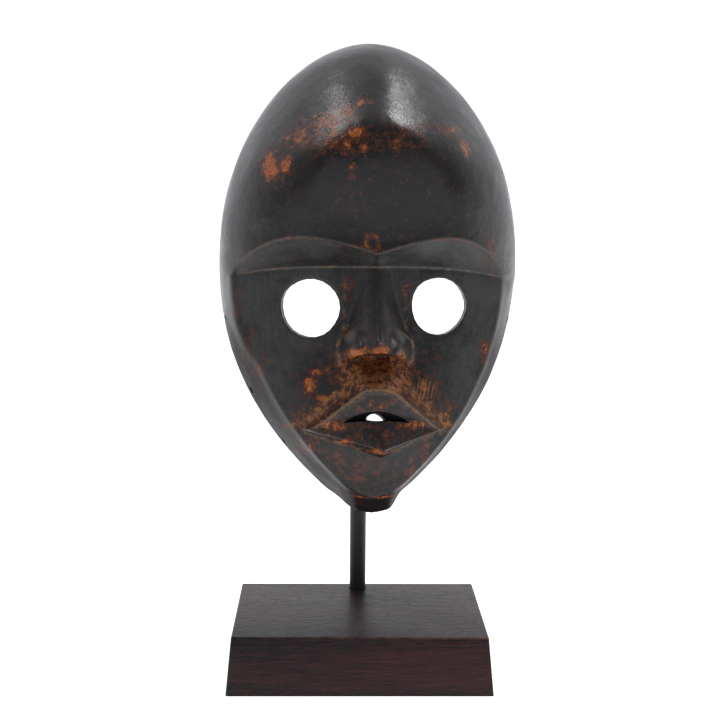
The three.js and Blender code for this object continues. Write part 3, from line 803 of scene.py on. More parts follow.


# Wear, with the painted sheen and painted light

# Where the patina is worn: across and up as shares of width and height, then half-width
# and half-height of the place in millimetres, and how far it is worn
WORN_PLACES = [
    (-0.335, 0.722, 3.2, 6.0, 1.0),
    (-0.289, 0.726, 2.6, 4.4, 0.9),
    (-0.310, 0.700, 5.0, 4.0, 0.3),
    (-0.079, 0.786, 3.6, 2.6, 1.0),
    (-0.105, 0.762, 2.6, 3.6, 0.75),
    (-0.058, 0.757, 2.2, 2.4, 0.7),
    (-0.048, 0.843, 4.0, 3.0, 0.8),
    (-0.100, 0.828, 8.0, 4.0, 0.55),
    (-0.165, 0.812, 8.0, 4.0, 0.66),
    (-0.240, 0.780, 7.0, 5.0, 0.62),
    (-0.150, 0.775, 14.0, 6.0, 0.5),
    (-0.088, 0.715, 1.6, 10.0, 0.42),
    (0.025, 0.768, 13.0, 4.5, 0.34),
    (0.090, 0.790, 12.0, 4.0, 0.36),
    (0.276, 0.765, 3.0, 3.5, 0.8),
    (0.226, 0.800, 7.0, 3.0, 0.5),
    (-0.086, 0.478, 3.2, 7.0, 0.42),
    (0.105, 0.470, 2.5, 6.0, 0.3),
    (0.366, 0.352, 2.0, 6.0, 0.66),
    (0.369, 0.555, 3.5, 8.0, 0.34),
    (-0.431, 0.434, 2.5, 9.0, 0.24),
    (-0.399, 0.361, 2.5, 8.0, 0.36),
    (-0.366, 0.308, 3.0, 8.0, 0.36),
    (-0.114, 0.130, 5.0, 4.0, 0.42),
    (-0.062, 0.086, 4.0, 4.0, 0.4),
    (-0.020, 0.105, 4.0, 6.0, 0.28),
    (-0.205, 0.150, 6.0, 5.0, 0.4),
    (0.120, 0.100, 3.0, 9.0, 0.4),
    (0.170, 0.135, 2.5, 7.0, 0.42),
    (0.158, 0.268, 9.0, 7.0, 0.54),
    (0.245, 0.225, 4.0, 6.0, 0.4),
    (0.003, 0.150, 6.0, 1.6, 0.85),
    (-0.099, 0.168, 3.2, 1.6, 0.85),
    (-0.150, 0.200, 9.0, 2.8, 0.66),
    (0.120, 0.203, 9.0, 2.2, 0.6),
    (0.000, 0.245, 8.0, 5.0, 0.36),
    (-0.206, 0.277, 2.8, 4.2, 0.86),
    (-0.182, 0.305, 4.0, 2.2, 0.82),
    (-0.150, 0.307, 3.0, 1.8, 0.66),
    (-0.162, 0.253, 4.0, 2.2, 0.82),
    (-0.131, 0.260, 1.8, 1.8, 0.6),
    (-0.235, 0.205, 5.0, 5.0, 0.44),
]
# Dark round spots where the patina holds: across, up, and radius in millimetres
CHEEK_KNOT = (-0.152, 0.282, 4.4)
BROW_KNOT = (-0.029, 0.824, 5.5)
# Rubbed parts of the nose's lower edge: middle and reach as shares of its half-width, and strength
NOSE_FLECKS = ((-0.52, 0.34, 0.9), (0.05, 0.2, 0.95), (0.6, 0.2, 0.6))
# Middle, half-width and half-height of the scored lines on the right cheek
SCORED_PLACE = (0.165, 0.27, 6.5, 5.5)


class Handling:
    """What years of use did to the surface at each point, and where sheen and light are painted
    on, as shares from 0 to 1.
    """

    def __init__(self, carving, x, y, z):
        self.carving, self.x, self.z = carving, x, z
        self.across, self.up = x / carving.width, z / carving.height
        depth = -y
        edge = carving.from_edge(x, z)
        front = carving.worn_depth(x, z)
        hollow = carving.hollow_depth(x, z)
        inner = clamp((front - depth) / np.maximum(front - hollow, 1 * MM))
        self.outside = 1 - smooth(0.35, 0.6, np.where(edge < 0.5 * MM, 0, inner))
        self.from_side = edge / carving.side_width
        self.over_brow = z - carving.brow_line(x)
        self.over_nose = z - carving.nose_edge(x)
        self.proud = smooth(2 * MM, 5 * MM, depth - carving.plain_depth(x, z))
        self.inset = carving.inside_lips(x, z)
        self.lips = smooth(-0.5 * MM, 0.5 * MM, self.inset)
        self.upper_lip = smooth(0.17, 0.2, self.up)
        middle = 1 - smooth(0.09, 0.18, np.abs(self.across))
        # Below the nose the wood is worn and dusty, and painted lighter where the nose shades it
        self.below_nose = middle * smooth(0.262, 0.285, self.up) * (1 - smooth(0.338, 0.352, self.up))
        # Band outside the upper lip's edge: worn and dusty wood, and a painted highlight where its ridge
        # takes the light
        self.beside_lips = near_line(self.inset + 4 * MM, 4 * MM) * self.upper_lip * (1 - self.lips)

    def from_place(self, across, up, wide, tall):
        """Squared distance from a place, measured in its half-width and half-height."""
        carving = self.carving
        aside = (self.across - across) * carving.width / (wide * MM)
        return aside ** 2 + ((self.up - up) * carving.height / (tall * MM)) ** 2

    def from_knot(self, across, up, squeeze=1.0):
        carving = self.carving
        return np.hypot(squeeze * (self.x - across * carving.width), self.z - up * carving.height)

    def worn_places(self):
        worn = np.zeros(self.x.shape)
        for across, up, wide, tall, strength in WORN_PLACES:
            worn = np.maximum(worn, strength * np.exp(-0.7 * self.from_place(across, up, wide, tall)))
        # A ring of wear round the cheek's knot, fainter towards the nose
        across, up, radius = CHEEK_KNOT
        away = self.from_knot(across, up)
        ring = near_line(away - 1.55 * radius * MM, 2.6 * MM)
        left = np.minimum(smooth(0.12, 0.155, -self.across) + 0.35, 1)
        worn = np.maximum(worn, 0.46 * ring * left)
        worn = worn * smooth(0.8 * radius * MM, 1.05 * radius * MM, away)
        across, up, radius = BROW_KNOT
        away = self.from_knot(across, up, 0.7)
        return worn * smooth(0.75 * radius * MM, 1.1 * radius * MM, away)

    def nose_wear(self):
        along = self.x / self.carving.nose_half
        band = (1 - smooth(0.9, 1.05, np.abs(along))) * self.proud
        band = band * smooth(-1.0 * MM, 0.6 * MM, self.over_nose)
        band = band * (1 - smooth(2.2 * MM, 5.5 * MM, self.over_nose))
        flecks = sum(strength * near_line(along - middle, reach) for middle, reach, strength in NOSE_FLECKS)
        return np.minimum(flecks, 0.85) * band

    def worn(self):
        """Places, the nose's edge, a ring between the brows, brow arcs, the chin's edge and lips. Beside
        the upper lip and below the nose the wear is also painted light.
        """
        carving, across = self.carving, self.across
        between = np.hypot(self.x + 0.02 * carving.width, self.z - 0.57 * carving.height)
        arc_end = 1 - smooth(0.85, 1.0, carving.aside_brow(self.x) / carving.brow_span)
        arc = near_line(self.over_brow - 0.3 * MM, 0.7 * MM) * arc_end
        chin_edge = near_line(self.z - 1.02 * carving.side_width, 0.8 * MM)
        chin_edge = chin_edge * (1 - smooth(0.06, 0.09, np.abs(across)))
        muzzle = 1 - smooth(0.1, 0.3, np.hypot(across, self.up - 0.24))
        return np.max([
            self.worn_places(),
            self.nose_wear(),
            0.56 * near_line(between - 3.0 * MM, 1.4 * MM),
            0.3 * arc,
            0.6 * chin_edge,
            0.21 * self.lips,
            0.16 * muzzle,
            0.6 * self.below_nose * (1 - self.proud * (self.over_nose > 0)),
            0.6 * self.beside_lips,
        ], axis=0)

    def dust_and_painted_light_share(self):
        """Dust in the crease, round the nose's wings, beside the bridge and below the nose. Along the
        lips' ridge and beside it, it is a painted highlight as well.
        """
        carving, up = self.carving, self.up
        crease = near_line(self.z - carving.crease_line(self.x), 0.5 * MM)
        crease = crease * (1 - smooth(0.9, 1.02, carving.aside_brow(self.x) / carving.brow_span))
        # The light line along the upper lip's ridge is dust and a painted highlight
        ridge = near_line(self.inset - 0.5 * MM, 0.8 * MM) * smooth(0.187, 0.2, up)
        under_lips = near_line(self.inset + 2.0 * MM, 1.6 * MM) * (1 - self.upper_lip)
        wing = np.hypot(np.abs(self.x) - 0.9 * carving.wing_side, self.z - 0.97 * carving.wing_level)
        round_wing = near_line(wing - 7.2 * MM, 1.1 * MM) * smooth(0.345, 0.36, up)
        round_wing = round_wing * (np.abs(self.across) > 0.075)
        beside = near_line(np.abs(self.x) - 0.1 * carving.width, 2.4 * MM)
        beside = beside * smooth(0.35, 0.38, up) * (1 - smooth(0.48, 0.52, up))
        return np.max([
            0.55 * crease,
            0.95 * ridge,
            0.5 * under_lips,
            0.62 * round_wing,
            0.38 * beside,
            0.42 * self.below_nose,
            0.52 * self.beside_lips,
        ], axis=0)

    def scored(self):
        return np.exp(-1.3 * self.from_place(*SCORED_PLACE) ** 2)

    def painted_sheen(self):
        """Grey painted sheen on the face, thinner on the brow's left half, the lips and the chin."""
        below_crease = smooth(-1 * MM, 1 * MM, self.carving.crease_line(self.x) - self.z)
        painted_sheen = mix(mix(0.25, 1, smooth(-0.15, 0.2, self.across)), 1, below_crease)
        painted_sheen = painted_sheen * (1 - smooth(0, 1.5 * MM, self.over_brow)) * smooth(0.3, 1.1, self.from_side)
        muzzle = 1 - smooth(0.14, 0.36, np.hypot(self.across, 0.9 * (self.up - 0.22)))
        painted_sheen = painted_sheen * (1 - 0.6 * self.lips) * (1 - 0.75 * muzzle)
        return painted_sheen * mix(0.45, 1, smooth(0.1, 0.3, self.up))

    def side(self):
        """The side walls beside the lower face."""
        return (1 - smooth(0.7, 1.2, self.from_side)) * (1 - smooth(0.3, 0.5, self.up))


# What the wood's material reads, among it a painted sheen, and dust that also paints light
PAINTED = ("worn", "dust_and_painted_light_share", "scored", "painted_sheen", "side", "inner")


def paint_wear(piece, carving):
    """Stores, point by point, what the wood's material reads."""
    mesh = piece.data
    places = np.empty(len(mesh.vertices) * 3)
    mesh.vertices.foreach_get("co", places)
    handling = Handling(carving, *places.reshape(-1, 3).T)
    for name in PAINTED:
        if name == "inner":
            values = 1 - handling.outside
        else:
            values = getattr(handling, name)() * handling.outside
        stored = mesh.attributes.new(name, "FLOAT", "POINT")
        stored.data.foreach_set("value", values.astype(np.float32))


def mask_place(carving):
    """The mask's place: the rod passes close behind the chin and goes up inside the hollow."""
    sizes = carving.sizes
    gap = bpy.context.scene.stand_sizes.socket_gap
    opening = sizes.rim_wall
    needed = abs(sizes.aside) + ROD_RADIUS + gap
    while carving.half_width([opening], sizes.rim_wall)[0] < needed:
        opening += 0.002 * carving.height
    clear = ROD_RADIUS + gap + opening * math.sin(sizes.lean_back)
    turned = (abs(sizes.aside) + ROD_RADIUS) * math.sin(abs(sizes.turn))
    move = Matrix.Translation((sizes.aside, ROD_Y - clear - turned, BASE_HIGH[2] + sizes.chin_height))
    turn = (Matrix.Rotation(sizes.turn, 4, "Z") @ Matrix.Rotation(-sizes.lean_back, 4, "X")
            @ Matrix.Rotation(sizes.lean_aside, 4, "Y"))
    return move @ turn


# Finishes

def carved_wood(finishes):
    """Dense hardwood, carved and then darkened by smoke, oil and handling: the dark layer is glossy
    where hands polished it, thin and red at the edge of each worn place, and gone where the bare
    wood shows its upright fibres. Dry dust dulls the cuts; its colour also paints a highlight along
    the upper lip's ridge and light below the nose, and a grey painted sheen lies over the face."""
    material, tree, place = new_material("Carved hardwood, smoked and oiled")
    worn, dust_and_painted_light_share, scored, painted_sheen, side, inner = (
        add(tree, "ShaderNodeAttribute", attribute_name=name).outputs["Fac"] for name in PAINTED)
    dark, rubbed = tuple(finishes.patina_dark), tuple(finishes.rubbed)

    # Fibres are about 0.6 mm wide and 14 mm long and run up the mask, and pores are 0.4 by 2.4 mm.
    # The other patterns lie on the plain coordinates, where a scale of 1000 gives forms of 1 mm.
    upright = add(tree, "ShaderNodeMapping", {"Vector": place, "Scale": (1600, 1600, 70)})
    short = add(tree, "ShaderNodeMapping", {"Vector": place, "Scale": (2600, 2600, 420)})
    patterns = (
        (upright, 1.0, 2.0, 0.6),
        (short, 1.0, 1.0, 0.5),
        (place, 48.0, 4.0, 0.55),
        (place, 330.0, 3.0, 0.6),
        (place, 1250.0, 2.0, 0.6),
        (place, 150.0, 4.0, 0.7),
        (place, 110.0, 3.0, 0.5),
    )
    fibres, pores, clouds, mottling, speckles, strays, swells = (
        add(tree, "ShaderNodeTexNoise", {
            "Vector": vector, "Scale": scale, "Detail": detail, "Roughness": roughness})
        for vector, scale, detail, roughness in patterns)

    # Patina: near black, browner in soft clouds and along the fibres
    thin = add(tree, "ShaderNodeMath", {0: clouds, 1: 0.75}, **TIMES)
    thin = add(tree, "ShaderNodeMath", {0: fibres, 1: 0.35, 2: thin}, **TIMES_PLUS)
    brown = add(tree, "ShaderNodeMapRange", {"Value": thin, "From Min": 0.42, "From Max": 0.72}, **SOFTLY)
    patina = add(tree, "ShaderNodeMix", {0: brown, 6: dark, 7: tuple(finishes.patina_brown)}, **OF_COLOURS)

    # A grey painted sheen over the face, uneven in clouds
    uneven = add(tree, "ShaderNodeMath", {0: thin, 1: 0.7}, **TIMES)
    uneven = add(tree, "ShaderNodeMath", {0: mottling, 1: 0.3, 2: uneven}, **TIMES_PLUS)
    uneven = add(tree, "ShaderNodeMapRange", {
        "Value": uneven, "From Min": 0.4, "From Max": 0.64, "To Min": 0.3, "To Max": 0.85}, **SOFTLY)
    grey = add(tree, "ShaderNodeMath", {0: painted_sheen, 1: uneven}, **TIMES)
    patina = add(tree, "ShaderNodeMix", {0: grey, 6: patina, 7: tuple(finishes.painted_sheen)}, **OF_COLOURS)

    # Wear breaks up into flecks at its edge, and a few flecks stray
    broken = add(tree, "ShaderNodeMath", {0: mottling, 1: 0.75}, **TIMES)
    broken = add(tree, "ShaderNodeMath", {0: speckles, 1: 0.45, 2: broken}, **TIMES_PLUS)
    broken = add(tree, "ShaderNodeMath", {0: broken, 1: 0.6}, **MINUS)
    wear = add(tree, "ShaderNodeMath", {0: broken, 1: 2.1, 2: worn}, **TIMES_PLUS)
    strays = add(tree, "ShaderNodeMapRange", {
        "Value": strays, "From Min": 0.66, "From Max": 0.74, "To Max": 0.32}, **SOFTLY)
    flecks = add(tree, "ShaderNodeMapRange", {"Value": speckles, "From Min": 0.5, "From Max": 0.62}, **SOFTLY)
    strays = add(tree, "ShaderNodeMath", {0: strays, 1: flecks}, **TIMES)
    wear = add(tree, "ShaderNodeMath", {0: wear, 1: strays}, **LARGER)
    reddened = add(tree, "ShaderNodeMapRange", {
        "Value": wear, "From Min": 0.12, "From Max": 0.5, "To Max": 0.85}, **SOFTLY)
    bared = add(tree, "ShaderNodeMapRange", {"Value": wear, "From Min": 0.52, "From Max": 0.78}, **SOFTLY)

    # Bare wood: orange-brown, with light fibres and dark pores
    light = add(tree, "ShaderNodeMath", {0: fibres, 1: 0.6}, **TIMES)
    light = add(tree, "ShaderNodeMath", {0: speckles, 1: 0.5, 2: light}, **TIMES_PLUS)
    light = add(tree, "ShaderNodeMapRange", {"Value": light, "From Min": 0.45, "From Max": 0.75}, **SOFTLY)
    bare = add(tree, "ShaderNodeMix", {
        0: light, 6: tuple(finishes.worn), 7: tuple(finishes.worn_light)}, **OF_COLOURS)
    pores = add(tree, "ShaderNodeMapRange", {
        "Value": pores, "From Min": 0.6, "From Max": 0.72, "To Max": 0.7}, **SOFTLY)
    bare = add(tree, "ShaderNodeMix", {0: pores, 6: bare, 7: rubbed}, **OF_COLOURS)
    tone = add(tree, "ShaderNodeMix", {0: reddened, 6: patina, 7: rubbed}, **OF_COLOURS)
    tone = add(tree, "ShaderNodeMix", {0: bared, 6: tone, 7: bare}, **OF_COLOURS)

    # Scored lines on the right cheek, 1.5 mm apart
    slanted = add(tree, "ShaderNodeMapping", {
        "Vector": place, "Rotation": (0, math.radians(-32), 0), "Scale": (1, 1, 0.3)})
    lines = add(tree, "ShaderNodeTexWave", {
        "Vector": slanted, "Scale": 205.0, "Distortion": 1.6, "Detail": 2.0, "Detail Scale": 1.4},
        wave_type="BANDS", bands_direction="X", wave_profile="SIN").outputs["Fac"]
    lines = add(tree, "ShaderNodeMapRange", {"Value": lines, "From Min": 0.62, "From Max": 0.9}, **SOFTLY)
    scored = add(tree, "ShaderNodeMapRange", {"Value": scored, "From Min": 0.35, "From Max": 0.8}, **SOFTLY)
    cuts = add(tree, "ShaderNodeMath", {0: lines, 1: scored}, **TIMES)

    # Dust lies in the scored lines and in the carved cuts. The same colour paints a highlight
    # along the upper lip's ridge, and light below the nose
    dust_and_painted_light = add(tree, "ShaderNodeMath", {0: broken, 1: 1.8, 2: dust_and_painted_light_share}, **TIMES_PLUS)
    dust_and_painted_light = add(tree, "ShaderNodeMapRange", {"Value": dust_and_painted_light, "From Min": 0.3, "From Max": 0.8}, **SOFTLY)
    dusty_cuts = add(tree, "ShaderNodeMath", {0: cuts, 1: 0.75}, **TIMES)
    dust_and_painted_light = add(tree, "ShaderNodeMath", {0: dust_and_painted_light, 1: dusty_cuts}, **LARGER)
    dust_and_painted_light_cover = add(tree, "ShaderNodeMath", {0: dust_and_painted_light, 1: 0.8}, **TIMES)
    tone = add(tree, "ShaderNodeMix", {0: dust_and_painted_light_cover, 6: tone, 7: tuple(finishes.dust_and_painted_light)}, **OF_COLOURS)

    # The hollow was never polished: plain brown wood, darker in clouds
    plain = add(tree, "ShaderNodeMapRange", {"Value": thin, "From Min": 0.35, "From Max": 0.75}, **SOFTLY)
    plain = add(tree, "ShaderNodeMix", {0: plain, 6: dark, 7: tuple(finishes.inner_wood)}, **OF_COLOURS)
    tone = add(tree, "ShaderNodeMix", {0: inner, 6: tone, 7: plain}, **OF_COLOURS)

    # Rough where it is bare, under dust or painted light, or hollow, and the side walls were never rubbed to
    # a shine
    half_bare = add(tree, "ShaderNodeMath", {0: bared, 1: 0.5}, **TIMES)
    dull = add(tree, "ShaderNodeMath", {0: half_bare, 1: dust_and_painted_light}, **LARGER)
    hollow = add(tree, "ShaderNodeMath", {0: inner, 1: 0.8}, **TIMES)
    dull = add(tree, "ShaderNodeMath", {0: dull, 1: hollow}, **LARGER)
    rough = add(tree, "ShaderNodeMapRange", {
        "Value": clouds, "From Min": 0.3, "From Max": 0.7, "To Min": 0.18, "To Max": 0.31}, **SOFTLY)
    for part, share in ((speckles, 0.08), (dull, 0.34), (painted_sheen, 0.1), (side, 0.3)):
        rough = add(tree, "ShaderNodeMath", {0: part, 1: share, 2: rough}, **TIMES_PLUS)
    shine = add(tree, "ShaderNodeMapRange", {"Value": side, "To Min": 0.42, "To Max": 0.12}, **SOFTLY)

    # Relief in millimetres: fibres, small pits, slow swells, the dark layer's edge, the scored lines
    relief = add(tree, "ShaderNodeMath", {0: fibres, 1: 0.11}, **TIMES)
    for part, rise in ((mottling, 0.12), (swells, 0.35), (bared, -0.06), (cuts, -0.35)):
        relief = add(tree, "ShaderNodeMath", {0: part, 1: rise, 2: relief}, **TIMES_PLUS)
    bump = add(tree, "ShaderNodeBump", {"Height": relief, "Distance": 1.0 * MM, "Strength": 0.8})
    wood = add(tree, "ShaderNodeBsdfPrincipled", {
        "Base Color": tone, "Roughness": rough, "IOR": 1.5, "Specular IOR Level": shine, "Normal": bump})
    add(tree, "ShaderNodeOutputMaterial", {"Surface": wood})
    return material


def stained_wood(finishes):
    """Close-grained hardwood, sawn, stained dark red-brown and waxed: a satin face with fine level
    grain, short open pores, and a paler stain along the front edge of the top."""
    material, tree, place = new_material("Stained hardwood, waxed")
    # Grain runs along the block: lines 1.1 to 1.6 mm apart and 12 mm long, in bands of 11 to 17 mm.
    # Pores are 5 mm long and 0.4 mm wide.
    along = add(tree, "ShaderNodeMapping", {"Vector": place, "Scale": (85, 620, 900)})
    grain = add(tree, "ShaderNodeTexNoise", {
        "Vector": along, "Scale": 1.0, "Detail": 4.0, "Roughness": 0.65, "Distortion": 0.6})
    wide = add(tree, "ShaderNodeMapping", {"Vector": place, "Scale": (9, 60, 90)})
    bands = add(tree, "ShaderNodeTexNoise", {"Vector": wide, "Scale": 1.0, "Detail": 3.0})
    short = add(tree, "ShaderNodeMapping", {"Vector": place, "Scale": (190, 2300, 2300)})
    pores = add(tree, "ShaderNodeTexNoise", {"Vector": short, "Scale": 1.0, "Detail": 1.0})
    pores = add(tree, "ShaderNodeMapRange", {"Value": pores, "From Min": 0.58, "From Max": 0.7})
    red = add(tree, "ShaderNodeMath", {0: grain, 1: bands}, operation="ADD")
    red = add(tree, "ShaderNodeMapRange", {"Value": red, "From Min": 0.84, "From Max": 1.2})
    stain = add(tree, "ShaderNodeMix", {
        0: red, 6: tuple(finishes.base_dark), 7: tuple(finishes.base_red)}, **OF_COLOURS)

    # The stain is paler along the front arris of the top, most towards the right
    split = add(tree, "ShaderNodeSeparateXYZ", {0: place}).outputs
    front, top = BASE_LOW[1] + bpy.context.scene.stand_sizes.batter, BASE_HIGH[2]
    near_front = add(tree, "ShaderNodeMapRange", {
        "Value": split["Y"], "From Min": front + 0.4 * MM, "From Max": front + 1.6 * MM,
        "To Min": 1.0, "To Max": 0.0})
    near_top = add(tree, "ShaderNodeMapRange", {
        "Value": split["Z"], "From Min": top - 1.3 * MM, "From Max": top - 0.3 * MM})
    rightwards = add(tree, "ShaderNodeMapRange", {
        "Value": split["X"], "From Min": BASE_LOW[0], "From Max": BASE_HIGH[0],
        "To Min": 0.35, "To Max": 1.0})
    uneven = add(tree, "ShaderNodeTexNoise", {"Vector": place, "Scale": 260.0, "Detail": 3.0})
    rubbed = near_front
    for part in (near_top, rightwards, uneven):
        rubbed = add(tree, "ShaderNodeMath", {0: rubbed, 1: part}, **TIMES)
    rubbed = add(tree, "ShaderNodeMapRange", {
        "Value": rubbed, "From Min": 0.15, "From Max": 0.6, "To Max": 0.7})
    stain = add(tree, "ShaderNodeMix", {0: rubbed, 6: stain, 7: tuple(finishes.base_pale_edge)}, **OF_COLOURS)

    rough = add(tree, "ShaderNodeMapRange", {
        "Value": grain, "From Min": 0.3, "From Max": 0.7, "To Min": 0.3, "To Max": 0.42})
    height = add(tree, "ShaderNodeMath", {0: grain, 1: pores}, **MINUS)
    bump = add(tree, "ShaderNodeBump", {"Height": height, "Distance": 0.3 * MM, "Strength": 0.8})
    wood = add(tree, "ShaderNodeBsdfPrincipled", {
        "Base Color": stain, "Roughness": rough, "Specular IOR Level": 0.24, "Normal": bump})
    add(tree, "ShaderNodeOutputMaterial", {"Surface": wood})
    return material


def painted_steel(finishes):
    """Mild steel bar under matte black paint: even and dark, with the faint orange peel of a
    sprayed coat."""
    material, tree, place = new_material("Steel bar, painted matte black")
    # The orange peel's bumps are about 1 mm wide, and the worn places about 8 mm
    peel = add(tree, "ShaderNodeTexNoise", {"Vector": place, "Scale": 900.0, "Detail": 2.0})
    worn = add(tree, "ShaderNodeTexNoise", {"Vector": place, "Scale": 120.0, "Detail": 4.0})
    rough = add(tree, "ShaderNodeMapRange", {
        "Value": worn, "From Min": 0.3, "From Max": 0.7, "To Min": 0.48, "To Max": 0.6})
    tone = add(tree, "ShaderNodeMix", {
        0: worn, 6: tuple(finishes.steel_paint), 7: tuple(finishes.steel_worn)}, **OF_COLOURS)
    bump = add(tree, "ShaderNodeBump", {"Height": peel, "Distance": 0.04 * MM, "Strength": 0.6})
    paint = add(tree, "ShaderNodeBsdfPrincipled", {"Base Color": tone, "Roughness": rough, "Normal": bump})
    add(tree, "ShaderNodeOutputMaterial", {"Surface": paint})
    return material


def finish_piece(piece, material, node, sharp):
    piece.data.materials.clear()
    piece.data.materials.append(material)
    piece.data.shade_smooth()
    piece.data.set_sharp_from_angle(angle=math.radians(sharp))
    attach(piece, "root")
    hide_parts(node)


class CarveMask(bpy.types.Operator):
    """Carve the mask, wear it in and hang it on the rod"""

    bl_idname = "mask_stand.carve_mask"
    bl_label = "Carve the mask"

    def execute(self, context):
        carving = Carving(context.scene.mask_sizes)
        sizes = carving.sizes
        material = carved_wood(context.scene.mask_finishes)
        mask = front_solid(carving)
        pocket_end = carving.lip_depth - sizes.mouth_pocket
        hole_gap, hole_start = HOLE_GAP * sizes.mouth_gap, HOLE_START * carving.depth
        cut_away(mask, [
            hollow_solid(carving),
            *eye_cutters(carving),
            mouth_cutter(carving, 0.5 * carving.mouth_half, sizes.mouth_gap, pocket_end, 0),
            mouth_cutter(carving, sizes.mouth_hole / 2, hole_gap, hole_start, HOLE_FALL),
            rim_hole_cutters(carving),
        ])
        paint_wear(mask, carving)
        marks = mask.modifiers.new("Knife marks", "NODES")
        marks.node_group = knife_marks_tree(material)
        set_input(marks, "Height", sizes.tool_marks)
        set_input(marks, "Size", sizes.mark_size)
        set_input(marks, "Seed", context.scene.stage_settings.marks_seed)
        make_plain(mask)
        mask.data.transform(mask_place(carving))
        finish_piece(mask, material, "mask", 48)
        return {"FINISHED"}


class AddRod(bpy.types.Operator):
    """Turn the steel rod, with a chamfer at both ends"""

    bl_idname = "mask_stand.add_rod"
    bl_label = "Add the rod"

    def execute(self, context):
        tip = context.scene.stand_sizes.rod_tip
        profile = [
            (ROD_RADIUS - tip, ROD_LOW[2]), (ROD_RADIUS, ROD_LOW[2] + tip),
            (ROD_RADIUS, ROD_HIGH[2] - tip), (ROD_RADIUS - tip, ROD_HIGH[2])]
        build = bmesh.new()
        sides = 64
        turns = [2 * math.pi * i / sides for i in range(sides)]
        rings = []
        for size, z in profile:
            places = [(ROD_X + size * math.cos(turn), ROD_Y + size * math.sin(turn), z) for turn in turns]
            rings.append([build.verts.new(place) for place in places])
        for lower, upper in zip(rings, rings[1:]):
            for i in range(sides):
                j = (i + 1) % sides
                build.faces.new((lower[i], lower[j], upper[j], upper[i]))
        build.faces.new(list(reversed(rings[0])))
        build.faces.new(rings[-1])
        rod = built_object("steel_rod", build)
        finish_piece(rod, painted_steel(context.scene.mask_finishes), "rod", 30)
        return {"FINISHED"}


class AddBase(bpy.types.Operator):
    """Plane the wooden base, ease its edges and drill the rod's socket"""

    bl_idname = "mask_stand.add_base"
    bl_label = "Add the base"

    def execute(self, context):
        stand = context.scene.stand_sizes
        build = bmesh.new()
        bmesh.ops.create_cube(build, size=1)
        for corner in build.verts:
            top = corner.co.z > 0
            for axis in (0, 1):
                half = (BASE_HIGH[axis] - BASE_LOW[axis]) / 2 - (stand.batter if top else 0)
                middle = (BASE_HIGH[axis] + BASE_LOW[axis]) / 2
                corner.co[axis] = middle + math.copysign(half, corner.co[axis])
            corner.co.z = BASE_HIGH[2] if top else BASE_LOW[2]
        foot_edges = [line for line in build.edges if all(end.co.z == BASE_LOW[2] for end in line.verts)]
        upper_edges = [line for line in build.edges if line not in foot_edges]
        bmesh.ops.bevel(build, geom=upper_edges, offset=stand.edge, segments=4, profile=0.5, affect="EDGES")
        bmesh.ops.recalc_face_normals(build, faces=build.faces)
        base = built_object("wooden_base", build)
        foot = Vector((ROD_X, ROD_Y, BASE_HIGH[2] - stand.socket_depth))
        mouth = Vector((ROD_X, ROD_Y, BASE_HIGH[2] + 1 * MM))
        cut_away(base, [rod_cutter("socket", ROD_RADIUS + stand.socket_gap, foot, mouth, 64)])
        finish_piece(base, stained_wood(context.scene.mask_finishes), "base", 35)
        return {"FINISHED"}


# Name, place, width, depth and power in watts of each lamp
LAMPS = (
    ("dome_left", (-0.56, 0.05, 1.38), 0.7, 0.1, 0.5),
    ("dome_right", (0.54, 0.06, 1.4), 0.7, 0.12, 1.15),
)
LAMP_TARGET = (0, 0, 0.25)
LAMP_SPREAD = 75
FLOOR_HALF = 4.0
# Where the light under the floor fades, and how strong it is in front and behind
GLOW_FADE, GLOW = (-0.27, -0.03), (0.14, 0.76)
# How far forwards the room's light fades, and how strong it is in front and behind
ROOM_FADE, ROOM = (-0.65, 0.9), (0.31, 1.07)
ROOM_TINT = (0.955, 0.98, 1.02, 1)
# Where the camera stands, and how many degrees it looks down, to the right and is rolled
CAMERA_PLACE = (-0.012993, -0.650087, 0.243100)
CAMERA_PITCH, CAMERA_TURN, CAMERA_ROLL = 8.3434, 1.1257, 0.4248


